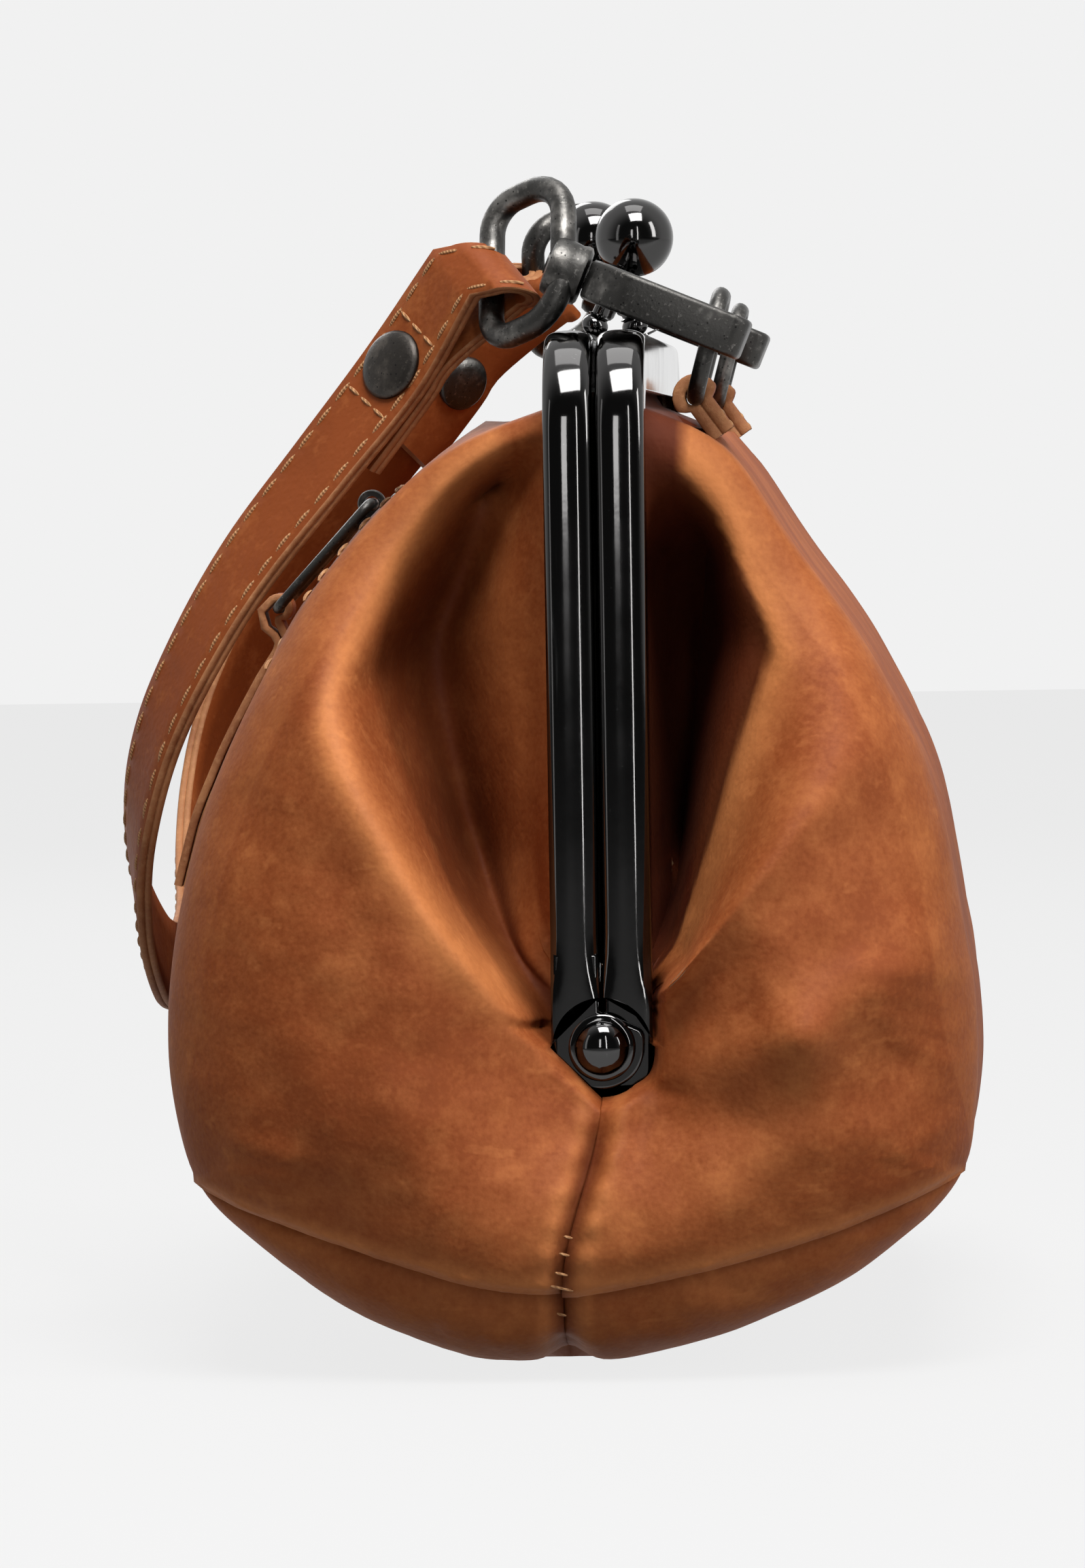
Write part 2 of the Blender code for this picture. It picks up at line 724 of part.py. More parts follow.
def build_pull():
    """A wire loop under the slider's bridge, with a leather strip through its lower end."""
    _, along, down, off = zip_frame(SLIDER_X)
    pivot = pull_pivot()
    half = PULL_WIDTH / 2 - PULL_WIRE
    length = PULL_LENGTH - 2 * PULL_WIRE
    corner = 0.0016
    loop = []
    for u, v, start in ((half, length, 0), (-half, length, 90), (-half, 0, 180), (half, 0, 270)):
        middle = (u - math.copysign(corner, u), corner if v == 0 else v - corner)
        loop += arc(middle, corner, start, start + 90, 3)
    points = [pivot + along * u + down * v for u, v in loop]
    add_object("zip_pull", wire_mesh(points, PULL_WIRE, True, 1), OLD_METAL, pivot)


def strip_route():
    """Middle of the pull strip: from the pull's lower bar down the leather."""
    start = pull_end()
    points = [start]
    lowest = start.z - STRIP_DROP
    raised = STRIP_THICKNESS / 2 + 0.0012
    for i in range(1, 8):
        height = mix(start.z - 0.0045, lowest, (i - 1) / 6)
        depth = side_depth(FRONT, height)
        lower = side_depth(FRONT, height - 0.001)
        slope = Vector((0, depth - lower, -0.001)).normalized()
        off = Vector((0, slope.z, -slope.y))
        points.append(Vector((SLIDER_X, -depth, height)) + off * raised)
    return points


def build_pull_strip():
    route = strip_route()
    rows = []
    half_width = Vector((STRIP_WIDTH / 2, 0, 0))
    for i, point in enumerate(route):
        before = route[max(i - 1, 0)]
        after = route[min(i + 1, len(route) - 1)]
        run = (after - before).normalized()
        off = run.cross(Vector((1, 0, 0))) * STRIP_THICKNESS / 2
        rows.append([point - half_width + off, point + half_width + off,
                     point + half_width - off, point - half_width - off])
    tail = grid_mesh(rows, closed_rows=True, caps=True)
    matrix = placement(route[0], Vector((0, 1, 0)), Vector((0, 0, 1)), Vector((1, 0, 0)))
    inner = PULL_WIRE + CLEARANCE
    eye = cylinder_mesh(inner + STRIP_THICKNESS / 2, STRIP_WIDTH - 0.0002, matrix)
    bore = cylinder_mesh(inner, 2 * STRIP_WIDTH, matrix)
    strip = combine(combine(tail, [eye], "UNION"), [bore], "DIFFERENCE")
    add_object("pull_strip", strip, LEATHER_EDGE, route[0])


# Clip-on strap

HOOK_RUN = Vector((0, -math.cos(math.radians(HOOK_SLOPE)), math.sin(math.radians(HOOK_SLOPE))))
HOOK_FACE = Vector((0, math.sin(math.radians(HOOK_SLOPE)), math.cos(math.radians(HOOK_SLOPE))))
NOSE = Vector((HOOK_X, NOSE_Y, NOSE_HEIGHT))
RING_UP = Vector((0, math.sin(math.radians(RING_LEAN)), math.cos(math.radians(RING_LEAN))))
RING_X = HOOK_X - HOOK_WIDTH / 2
RING_FOOT = Vector((RING_X, RING_Y, RING_HEIGHT))
LOOP_ALONG = Vector((0.50, 0.0, -0.866)).normalized()
LOOP_OUT = Vector((-0.553, -0.77, -0.318))
LOOP_OUT = (LOOP_OUT - LOOP_ALONG * LOOP_OUT.dot(LOOP_ALONG)).normalized()
LOOP_FACE = LOOP_OUT.cross(LOOP_ALONG).normalized()
LOOP_WIDTH = LOOP_FACE.cross(LOOP_OUT).normalized()


def hook_matrix():
    """Hook plane: first axis from the nose to the swivel, second along the purse."""
    return placement(NOSE, HOOK_RUN, Vector((1, 0, 0)), HOOK_RUN.cross(Vector((1, 0, 0))))


def hook_point(run, across):
    return NOSE + HOOK_RUN * run + Vector((across, 0, 0))


def build_hooks():
    half = HOOK_WIDTH / 2
    eye_half = half - HOOK_BAR
    eye_end = HOOK_NOSE + HOOK_EYE_LENGTH
    stub = 0.0080
    neck = COLLAR_RADIUS + 0.0002
    ear = GATE_PIVOT - 0.0026
    outline = [(stub, -half), (0.0020, -half), (0, -half + 0.0020), (0, half - 0.0020), (0.0020, half),
               (eye_end - 0.0010, half), (HOOK_LENGTH, neck), (HOOK_LENGTH, -neck),
               (HOOK_LENGTH - 0.0020, -half), (ear, -half), (ear, -eye_half)]
    outline += arc((eye_end - 0.0025, eye_half - 0.0025), 0.0025, 0, 90, 3)
    outline += arc((HOOK_NOSE + 0.0025, eye_half - 0.0025), 0.0025, 90, 180, 3)
    outline += [(HOOK_NOSE, -eye_half), (stub, -eye_half)]
    body = plate_mesh(outline, HOOK_THICKNESS, hook_matrix())
    pivot = hook_point(GATE_PIVOT, -half + 0.0026)
    turn = hook_matrix()
    turn.translation = pivot
    slot = turn.copy()
    slot.translation = hook_point(GATE_PIVOT - 0.0004, -half + 0.0020)
    slot_cut = box_mesh((0.0062, 0.0070, HOOK_THICKNESS - 0.0024), slot)
    pin_hole = cylinder_mesh(GATE_PIN + RUNNING, 2 * HOOK_THICKNESS, turn, 14)
    bore = placement(hook_point(HOOK_LENGTH, 0), HOOK_FACE, Vector((1, 0, 0)), HOOK_RUN)
    post_hole = cylinder_mesh(POST_RADIUS + RUNNING, 0.0070, bore, 14)
    add_pair("hook_body", combine(body, [slot_cut, pin_hole, post_hole], "DIFFERENCE"), OLD_METAL)
    add_pair("gate_pin", cylinder_mesh(GATE_PIN, HOOK_THICKNESS - 0.0001, turn, 14), OLD_METAL)
    build_gates(pivot, turn, stub)


def build_gates(pivot, turn, stub):
    """A bar that closes the hook, on a thin heel beside its coil spring."""
    half = HOOK_WIDTH / 2
    heel_radius = 0.0020
    heel_low = -(HOOK_THICKNESS - 0.0024) / 2 + CLEARANCE
    heel_high = heel_low + 0.0011
    tip = stub + CLEARANCE - GATE_PIVOT
    bar_end = -2 * heel_radius
    bar = [(tip, -0.0022), (bar_end, -0.0022), (bar_end, 0.0012), (tip, 0.0012)]
    bar_body = plate_mesh(bar, HOOK_THICKNESS - 0.0008, turn)
    heel = arc((0, 0), heel_radius, 90, -90, 8)
    heel += [(bar_end - 0.0015, -0.0020), (bar_end - 0.0015, 0.0010)]
    middle = turn.copy()
    middle.translation = pivot + turn.to_3x3() @ Vector((0, 0, (heel_low + heel_high) / 2))
    hole = arc((0, 0), GATE_PIN + RUNNING, 0, 330, 11)
    heel_body = plate_mesh(heel, heel_high - heel_low, middle, [hole])
    add_pair("hook_gate", combine(bar_body, [heel_body], "UNION"), OLD_METAL, pivot)
    wire = 0.00018
    coil = []
    turns, steps = 2, 12
    start = heel_high + CLEARANCE + wire
    for i in range(int(turns * steps) + 1):
        u, v = polar(GATE_PIN + CLEARANCE + 2 * wire, 360 * i / steps)
        height = start + i / steps * 2.2 * wire
        coil.append(pivot + turn.to_3x3() @ Vector((u, v, height)))
    add_pair("gate_spring", wire_mesh(coil, wire, False, 0), OLD_METAL, pivot)


def loop_centre():
    """Middle of the swivel loop, outside its collar."""
    collar = hook_point(HOOK_LENGTH + CLEARANCE + 0.75 * COLLAR_LENGTH, 0)
    return collar + HOOK_FACE * 0.0020 - LOOP_ALONG * 0.0014 + LOOP_OUT * (LOOP_DEPTH / 2 - LOOP_WIRE)


def strap_bar():
    """Middle of the loop's outer bar, which carries the strap."""
    return loop_centre() + LOOP_OUT * (LOOP_DEPTH / 2 - LOOP_WIRE)


def build_swivels():
    half_long = LOOP_LENGTH / 2 - LOOP_WIRE
    half_deep = LOOP_DEPTH / 2 - LOOP_WIRE
    corner = half_long - STRAP_WIDTH / 2 - CLEARANCE
    route = []
    for u, v, start in ((1, 1, 0), (-1, 1, 90), (-1, -1, 180), (1, -1, 270)):
        middle = (u * (half_long - corner), v * (half_deep - corner))
        route += arc(middle, corner, start, start + 90, 4)
    points = [loop_centre() + LOOP_ALONG * u + LOOP_OUT * v for u, v in route]
    loop = wire_mesh(points, LOOP_WIRE, True, 2)
    middle = hook_point(HOOK_LENGTH + CLEARANCE + COLLAR_LENGTH / 2, 0)
    matrix = placement(middle, HOOK_FACE, Vector((1, 0, 0)), HOOK_RUN)
    collar = cylinder_mesh(COLLAR_RADIUS, COLLAR_LENGTH, matrix)
    joined = combine(collar, [loop], "UNION")
    start = hook_point(HOOK_LENGTH - 0.0032, 0)
    reach = 0.0032 + 2 * CLEARANCE + COLLAR_LENGTH
    post_middle = placement(start + HOOK_RUN * reach / 2, HOOK_FACE, Vector((1, 0, 0)), HOOK_RUN)
    bore = cylinder_mesh(POST_RADIUS + RUNNING, reach + 0.0040, post_middle, 14)
    add_pair("swivel_loop", combine(joined, [bore], "DIFFERENCE"), OLD_METAL)
    add_pair("swivel_post", cylinder_mesh(POST_RADIUS, reach, post_middle, 14), OLD_METAL)


def build_rings():
    """Oval rings that stand in leather tabs sewn to the rear panel."""
    half = RING_WIDTH / 2
    corner = (RING_WIDTH - TAB_WIDTH) / 2 - CLEARANCE
    route = []
    for u, v, start in ((half, RING_LENGTH, 0), (-half, RING_LENGTH, 90), (-half, 0, 180), (half, 0, 270)):
        middle = (u - math.copysign(corner, u), corner if v == 0 else v - corner)
        route += arc(middle, corner, start, start + 90, 5)
    points = [RING_FOOT + Vector((u, 0, 0)) + RING_UP * v for u, v in route]
    add_pair("tab_ring", wire_mesh(points, RING_WIRE, True, 1), OLD_METAL, RING_FOOT)
    inner = RING_WIRE + CLEARANCE
    outer = inner + LEATHER
    foot_z = RING_HEIGHT - TAB_TAIL
    foot_y = side_depth(REAR, foot_z) + LEATHER * 0.9
    run = Vector((foot_y - RING_Y, -TAB_TAIL))
    run.normalize()
    side = Vector((-run.y, run.x)) * outer
    tail = [(run.x * TAB_TAIL * 1.15 + side.x * 0.45, run.y * TAB_TAIL * 1.15 + side.y * 0.45),
            (run.x * TAB_TAIL * 1.15 - side.x * 0.05, run.y * TAB_TAIL * 1.15 - side.y * 0.05)]
    start = math.degrees(math.atan2(-side.y, -side.x))
    outline = arc((0, 0), outer, start, start - 180, 10) + tail
    hole = arc((0, 0), inner, 0, 330, 11)
    matrix = placement(RING_FOOT, Vector((0, 1, 0)), Vector((0, 0, 1)), Vector((1, 0, 0)))
    add_pair("ring_tab", plate_mesh(outline, TAB_WIDTH, matrix, [hole]), LEATHER_EDGE)


def strap_points():
    """Route of the strap from the near loop to the middle of the front, clear of the leather."""
    bar = strap_bar()
    over = bar + LOOP_FACE * (LOOP_WIRE + 3 * CLEARANCE + STRAP_THICKNESS / 2)
    points = [over + LOOP_OUT * 0.003]
    for inwards, down, stand_off in STRAP_ROUTE:
        height = mix(FRAME_TOP - STRAP_START_DROP, BELLY_HEIGHT, down)
        out = side_depth(FRONT, height) + stand_off
        points.append(Vector(((HOOK_X - STRAP_START_IN) * (1 - inwards), -out, height)))
    return points


# Share of the way to the middle, share of the way down, and distance off the leather
STRAP_ROUTE = ((0.0, 0.0, 0.0266), (0.015, 0.153, 0.0136), (0.025, 0.30, 0.0117), (0.040, 0.434, 0.0112),
               (0.080, 0.58, 0.0100), (0.17, 0.726, 0.0089), (0.36, 0.86, 0.0072),
               (0.66, 0.963, 0.0056), (1.0, 1.0, 0.0049))
STRAP_FACES = [LOOP_FACE, Vector((0.73, -0.66, 0.18)), Vector((0.68, -0.70, 0.2)), Vector((0.62, -0.74, 0.2)),
               Vector((0.56, -0.79, 0.2)), Vector((0.48, -0.86, 0.15)), Vector((0.38, -0.92, 0.1)),
               Vector((0.24, -0.97, 0.0)), Vector((0.1, -0.99, 0.0)), Vector((0, -1, 0))]


def strap_frames():
    """Places along the near half of the strap, each with its run, width and face."""
    places = strap_points()
    mirror = Vector((-places[-2].x, places[-2].y, places[-2].z))
    padded = [places[1] - LOOP_OUT] + places + [mirror]
    frames = []
    for i, place in enumerate(places):
        run = (padded[i + 2] - padded[i]).normalized()
        across = STRAP_FACES[i].cross(run).normalized()
        frames.append((place, run, across, run.cross(across).normalized()))
    return frames


def strap_section(place, across, face):
    wide = across * STRAP_WIDTH / 2
    thick = face * STRAP_THICKNESS / 2
    return [place - wide + thick, place + wide + thick, place + wide - thick, place - wide - thick]


def build_strap():
    frames = strap_frames()
    bar = strap_bar()
    rows = []
    layer = STRAP_THICKNESS + CLEARANCE
    fold = LOOP_WIRE + CLEARANCE + STRAP_THICKNESS / 2
    rivet_station = 1
    place, run, across, face = frames[rivet_station]
    flat = STRAP_CAP + CLEARANCE
    for distance in (0.0125, flat, -flat):
        spot = place + run * distance - face * layer
        rows.append(strap_section(spot, across, -face))
    under = bar - LOOP_FACE * fold
    rows.append(strap_section(under + LOOP_OUT * 0.003, LOOP_WIDTH, -LOOP_FACE))
    for turn in range(180, -1, -36):
        u, v = polar(fold, turn)
        outward = LOOP_FACE * u - LOOP_OUT * v
        rows.append(strap_section(bar + outward, LOOP_WIDTH, outward.normalized()))
    for i, (place, run, across, face) in enumerate(frames):
        spots = (-flat, flat) if i == rivet_station else (0.0,)
        rows += [strap_section(place + run * distance, across, face) for distance in spots]
    far = []
    for row in reversed(rows[:-1]):
        far.append([Vector((-point.x, point.y, point.z)) for point in row])
    strap = grid_mesh(rows + far, closed_rows=True, caps=True)
    build_strap_rivets(strap, frames[rivet_station], layer)


def build_strap_rivets(strap, frame, layer):
    """Domed caps and backs that clamp the folded strap ends."""
    place, run, across, face = frame
    matrix = placement(place, run, across, run.cross(across))
    if matrix.to_3x3().col[2].dot(face) < 0:
        matrix = placement(place, run, -across, -run.cross(across))
    outer = STRAP_THICKNESS / 2 + CLEARANCE
    inner = -layer - outer
    profile = [(0.0, outer + 0.0013), (0.6 * STRAP_CAP, outer + 0.0011), (0.9 * STRAP_CAP, outer + 0.0007),
               (STRAP_CAP, outer), (STRAP_POST, outer), (STRAP_POST, inner), (0.0, inner)]
    cap = turned_mesh(profile, matrix)
    back = inner - CLEARANCE
    profile = [(0.0, back), (0.85 * STRAP_CAP, back), (0.80 * STRAP_CAP, back - 0.0007), (0.0, back - 0.0012)]
    base = turned_mesh(profile, matrix)
    hole = cylinder_mesh(STRAP_POST + CLEARANCE, 0.012, matrix, 14)
    add_object("carry_strap", combine(strap, [hole, mirrored(hole)], "DIFFERENCE"), LEATHER_EDGE, RING_FOOT)
    add_pair("strap_cap", cap, OLD_METAL)
    add_pair("strap_back", base, OLD_METAL)


def build_axes():
    axis_empty("front_axis", HINGE, ["front_frame", "front_cord", "front_clasp", "front_leather"])
    axis_empty("rear_axis", HINGE, ["rear_frame", "rear_cord", "rear_clasp", "rear_leather"])


def main():
    build_leather()
    for side, name in ((FRONT, "front"), (REAR, "rear")):
        build_frame(side, name)
        build_clasp(side, name)
    build_hinge_rivets()
    build_zip()
    build_slider()
    build_pull()
    build_pull_strip()
    build_rings()
    build_hooks()
    build_swivels()
    build_strap()
    build_axes()


clear_scene()
parts = new_collection("frame_purse")
cutters = new_collection("cutters")
main()
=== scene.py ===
import math

import bmesh
import bpy
import numpy as np
from mathutils import Matrix, Vector


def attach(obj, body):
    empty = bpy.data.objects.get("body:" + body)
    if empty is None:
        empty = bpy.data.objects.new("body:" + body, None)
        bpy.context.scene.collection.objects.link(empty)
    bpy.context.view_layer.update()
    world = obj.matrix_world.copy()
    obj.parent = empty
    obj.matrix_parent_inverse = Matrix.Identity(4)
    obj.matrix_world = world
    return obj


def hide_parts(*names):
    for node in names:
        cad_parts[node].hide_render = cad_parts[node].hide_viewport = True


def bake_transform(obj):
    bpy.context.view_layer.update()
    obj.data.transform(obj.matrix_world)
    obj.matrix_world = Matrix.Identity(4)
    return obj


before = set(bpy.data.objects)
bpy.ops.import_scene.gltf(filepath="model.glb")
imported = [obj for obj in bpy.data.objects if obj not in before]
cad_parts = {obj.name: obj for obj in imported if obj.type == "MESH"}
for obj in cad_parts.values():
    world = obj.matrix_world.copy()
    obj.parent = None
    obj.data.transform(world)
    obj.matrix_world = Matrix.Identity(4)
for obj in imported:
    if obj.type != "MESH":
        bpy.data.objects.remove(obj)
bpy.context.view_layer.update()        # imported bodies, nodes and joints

mm = 0.001    # lengths below are in millimetres, pieces end up in metres
front, rear = -1, 1

purse = {"hingeZ": 42.0, "armX": 90.0, "topZ": 134.0, "barIn": 0.2, "barOut": 6.5, "barWide": 8.0,
         "corner": 14.0, "edge": 1.6, "wall": 1.0}


def smooth(t):
    t = np.clip(t, 0.0, 1.0)
    return t * t * (3 - 2 * t)


def mix(a, b, t):
    return a + (b - a) * t


def unit(v):
    return v / np.linalg.norm(v)


def spline(points, count):    # smooth curve through given points, evenly spread in length
    pts = np.array(points, float)
    pts = np.vstack([2 * pts[0] - pts[1], pts, 2 * pts[-1] - pts[-2]])
    fine = []
    for i in range(1, len(pts) - 2):
        t = np.linspace(0, 1, 24, endpoint=False)[:, None]
        a, b, c, d = pts[i - 1], pts[i], pts[i + 1], pts[i + 2]
        fine.append(0.5 * (2 * b + (c - a) * t + (2 * a - 5 * b + 4 * c - d) * t ** 2
                           + (3 * b - a - 3 * c + d) * t ** 3))
    fine = np.vstack(fine + [pts[-2:-1]])
    run = np.concatenate([[0], np.cumsum(np.linalg.norm(np.diff(fine, axis=0), axis=1))])
    at = np.linspace(0, run[-1], count)
    return np.stack([np.interp(at, run, fine[:, k]) for k in range(pts.shape[1])], 1)


def arcPoints(middle, radius, start, end, steps):
    turn = np.radians(np.linspace(start, end, steps + 1))
    return [(middle[0] + radius * math.cos(t), middle[1] + radius * math.sin(t)) for t in turn]


def placed(origin, xAxis, yAxis, zAxis):
    m = Matrix.Identity(4)
    for i, axis in enumerate((xAxis, yAxis, zAxis, origin)):
        for k in range(3):
            m[k][i] = float(axis[k])
    return m


# mesh makers, in millimetres

def gridMesh(points, closedColumns=False, closedRows=False, capEnds=False, stripes=None):
    pts = np.asarray(points, float)
    if closedColumns:
        pts = np.concatenate([pts, pts[:, :1]], 1)
    if closedRows:
        pts = np.concatenate([pts, pts[:1]], 0)
    rows, columns = pts.shape[:2]
    bm = bmesh.new()
    bmesh.ops.create_grid(bm, x_segments=columns - 1, y_segments=rows - 1, size=1)
    bm.verts.ensure_lookup_table()
    bm.verts.index_update()
    for v, p in zip(bm.verts, pts.reshape(-1, 3)):
        v.co = p
    if stripes:    # material of each lengthwise strip of faces
        for f in bm.faces:
            f.material_index = stripes[min(v.index % columns for v in f.verts)]
    if closedColumns or closedRows:
        bmesh.ops.remove_doubles(bm, verts=bm.verts, dist=1e-5)
    if capEnds:
        rim = [e for e in bm.edges if e.is_boundary]
        ends = bmesh.ops.holes_fill(bm, edges=rim, sides=0)["faces"]
        for f in ends:
            f.material_index = max(stripes or [0])
    if closedColumns and (capEnds or closedRows):
        bmesh.ops.recalc_face_normals(bm, faces=bm.faces)
    return bm


def pathFrames(path, closed=False):    # tangent and two normals carried along a path
    path = np.asarray(path, float)
    if closed:
        tangent = np.roll(path, -1, 0) - np.roll(path, 1, 0)
    else:
        tangent = np.gradient(path, axis=0)
    tangent /= np.linalg.norm(tangent, axis=1)[:, None]
    guess = np.array((0.31, 0.42, 0.85))
    side = unit(np.cross(tangent[0], guess))
    sides = []
    for t in tangent:
        side = unit(side - t * side.dot(t))
        sides.append(side)
    sides = np.array(sides)
    return tangent, sides, np.cross(tangent, sides)


def tubeMesh(path, radius, sides=12, closed=False):
    path = np.asarray(path, float)
    _, a, b = pathFrames(path, closed)
    turn = np.radians(np.arange(sides) * 360 / sides)
    radius = np.broadcast_to(np.asarray(radius, float), (len(path),))[:, None, None]
    ring = a[:, None] * np.cos(turn)[None, :, None] + b[:, None] * np.sin(turn)[None, :, None]
    return gridMesh(path[:, None] + ring * radius, closedColumns=True, closedRows=closed, capEnds=not closed)


def turnedMesh(profile, matrix, steps=48):    # profile of radius and height, spun round its own Z
    bm = bmesh.new()
    verts = [bm.verts.new((r, 0, h)) for r, h in profile]
    edges = [bm.edges.new(pair) for pair in zip(verts, verts[1:])]
    bmesh.ops.spin(bm, geom=verts + edges, cent=(0, 0, 0), axis=(0, 0, 1), angle=2 * math.pi,
                   steps=steps, use_merge=True)
    bmesh.ops.remove_doubles(bm, verts=bm.verts, dist=1e-4)
    bmesh.ops.recalc_face_normals(bm, faces=bm.faces)
    bmesh.ops.transform(bm, matrix=matrix, verts=bm.verts)
    return bm


def plateMesh(outline, thickness, matrix, round=0.3, segments=3):
    bm = bmesh.new()
    face = bm.faces.new([bm.verts.new((u, v, -thickness / 2)) for u, v in outline])
    top = bmesh.ops.extrude_face_region(bm, geom=[face])["geom"]
    bmesh.ops.translate(bm, vec=(0, 0, thickness),
                        verts=[g for g in top if isinstance(g, bmesh.types.BMVert)])
    bmesh.ops.recalc_face_normals(bm, faces=bm.faces)
    rim = [e for e in bm.edges if abs(e.verts[0].co.z - e.verts[1].co.z) < 1e-6]
    bmesh.ops.bevel(bm, geom=rim, offset=round, offset_type="OFFSET", affect="EDGES", segments=segments,
                    profile=0.5, material=-1, clamp_overlap=True)
    flats = sorted(bm.faces, key=lambda f: f.calc_area())[-2:]
    bmesh.ops.inset_individual(bm, faces=flats, thickness=round * 0.4, use_even_offset=True)
    bmesh.ops.transform(bm, matrix=matrix, verts=bm.verts)
    bmesh.ops.recalc_face_normals(bm, faces=bm.faces)
    return bm


def joinMeshes(*parts):
    whole = bmesh.new()
    for bm in parts:
        mesh = bpy.data.meshes.new("join")
        bm.to_mesh(mesh)
        bm.free()
        whole.from_mesh(mesh)
        bpy.data.meshes.remove(mesh)
    return whole


def farCopy(bm):    # the same shape at the other end of the purse
    twin = bm.copy()
    bmesh.ops.scale(twin, vec=(-1, 1, 1), verts=twin.verts)
    bmesh.ops.reverse_faces(twin, faces=twin.faces)
    return twin


def addPiece(name, bm, finish, body=None, stands=(), sharp=45):
    bmesh.ops.scale(bm, vec=(mm, mm, mm), verts=bm.verts)
    mesh = bpy.data.meshes.new(name)
    bm.to_mesh(mesh)
    bm.free()
    mesh.shade_smooth()
    mesh.set_sharp_from_angle(angle=math.radians(sharp))
    piece = bpy.data.objects.new(name, mesh)
    bpy.context.scene.collection.objects.link(piece)
    for one in finish if isinstance(finish, (list, tuple)) else [finish]:
        mesh.materials.append(one)
    if body:
        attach(piece, body)
    if stands:
        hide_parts(*stands)
    return piece


def addPair(name, bm, finish, body, node=None, sharp=45):
    twin = farCopy(bm)
    for end, shape in (("near", bm), ("far", twin)):
        on = body if isinstance(body, str) else body[end]
        stands = (node + "_" + end,) if node else ()
        addPiece(name + "." + end, shape, finish, on, stands, sharp)


def stitchMesh(spots, thread=0.27, sides=6):    # spots: middle, run, off, length
    parts = []
    for middle, run, off, length in spots:
        along = np.linspace(-0.5, 0.5, 5)
        lift = ((0.25 - along ** 2) * 2.4 - 0.4) * thread
        path = middle + run * (along * length)[:, None] + off * lift[:, None]
        parts.append(tubeMesh(path, thread * np.array((0.55, 1, 1.05, 1, 0.55)), sides))
    return joinMeshes(*parts)


# shader maths

class Sock:    # wraps an output socket so that values can be added, multiplied and so on
    def __init__(self, tree, out):
        self.tree = tree
        self.out = out

    def add(self, kind, settings=None, **links):
        node = self.tree.nodes.new(kind)
        for key, value in (settings or {}).items():
            if key == "stops":
                while len(node.color_ramp.elements) < len(value):
                    node.color_ramp.elements.new(0.5)
                for stop, (at, colour) in zip(node.color_ramp.elements, value):
                    stop.position = at
                    stop.color = (*colour, 1)
            else:
                setattr(node, key, value)
        for key, value in links.items():
            numbered = key[0] == "i" and key[1:].isdigit()    # i0, i1 and so on pick an input by its place
            spot = node.inputs[int(key[1:]) if numbered else key.replace("_", " ")]
            if isinstance(value, Sock):
                self.tree.links.new(value.out, spot)
            elif isinstance(value, (tuple, list)) and len(value) == 3 and spot.type == "RGBA":
                spot.default_value = (*value, 1)
            else:
                spot.default_value = value
        return node

    def make(self, kind, settings=None, output=0, **links):
        return Sock(self.tree, self.add(kind, settings, **links).outputs[output])

    def maths(self, operation, a, b=0.0, clamp=False):
        return self.make("ShaderNodeMath", {"operation": operation, "use_clamp": clamp}, i0=a, i1=b)

    def __add__(self, other):
        return self.maths("ADD", self, other)

    def __radd__(self, other):
        return self.maths("ADD", other, self)

    def __sub__(self, other):
        return self.maths("SUBTRACT", self, other)

    def __rsub__(self, other):
        return self.maths("SUBTRACT", other, self)

    def __mul__(self, other):
        return self.maths("MULTIPLY", self, other)

    def __rmul__(self, other):
        return self.maths("MULTIPLY", other, self)

    def __truediv__(self, other):
        return self.maths("DIVIDE", self, other)

    def __rtruediv__(self, other):
        return self.maths("DIVIDE", other, self)

    def __pow__(self, other):
        return self.maths("POWER", self, other)

    def between(self, low, high):    # soft step from 0 at low to 1 at high
        return self.make("ShaderNodeMapRange", {"interpolation_type": "SMOOTHSTEP"}, Value=self,
                         From_Min=low, From_Max=high)

    def tint(self, a, b):    # colour a where the value is 0, b where it is 1
        node = self.tree.nodes.new("ShaderNodeMix")
        node.data_type = "RGBA"
        self.tree.links.new(self.out, node.inputs[0])
        for spot, colour in ((node.inputs[6], a), (node.inputs[7], b)):
            if isinstance(colour, Sock):
                self.tree.links.new(colour.out, spot)
            else:
                spot.default_value = (*colour, 1)
        return Sock(self.tree, node.outputs[2])


def newFinish(name, **fixed):    # a material, its Principled node and its Object coordinates
    finish = bpy.data.materials.new(name)
    finish.use_nodes = True
    tree = finish.node_tree
    shader = tree.nodes["Principled BSDF"]
    for key, value in fixed.items():
        spot = shader.inputs[key.replace("_", " ")]
        spot.default_value = (*value, 1) if isinstance(value, tuple) else value
    coords = Sock(tree, tree.nodes.new("ShaderNodeTexCoord").outputs["Object"])
    return finish, shader, coords


def feed(shader, **links):
    for key, value in links.items():
        value.tree.links.new(value.out, shader.inputs[key.replace("_", " ")])


def noise(coords, scale, detail=4.0, rough=0.55, stretch=None):
    if stretch:
        coords = coords.make("ShaderNodeMapping", i0=coords, i3=stretch)
    return coords.make("ShaderNodeTexNoise", Vector=coords, Scale=scale, Detail=detail, Roughness=rough)


def cells(coords, scale, output="Distance", feature="F1", rough=1.0):
    return coords.make("ShaderNodeTexVoronoi", {"feature": feature}, output, Vector=coords, Scale=scale,
                       Randomness=rough)


def bump(height, strength, distance, under=None):
    links = {"Strength": strength, "Distance": distance, "Height": height}
    if under:
        links["Normal"] = under
    return height.make("ShaderNodeBump", None, **links)


# deep is the dark brown that the fold attribute paints into folds and valleys as painted shade
leather = {"mid": (0.228, 0.052, 0.0110), "light": (0.505, 0.174, 0.053), "deep": (0.072, 0.011, 0.0025),
           "raw": (0.420, 0.180, 0.070), "grainScale": 1500.0, "patchScale": 32.0, "rough": 0.55}


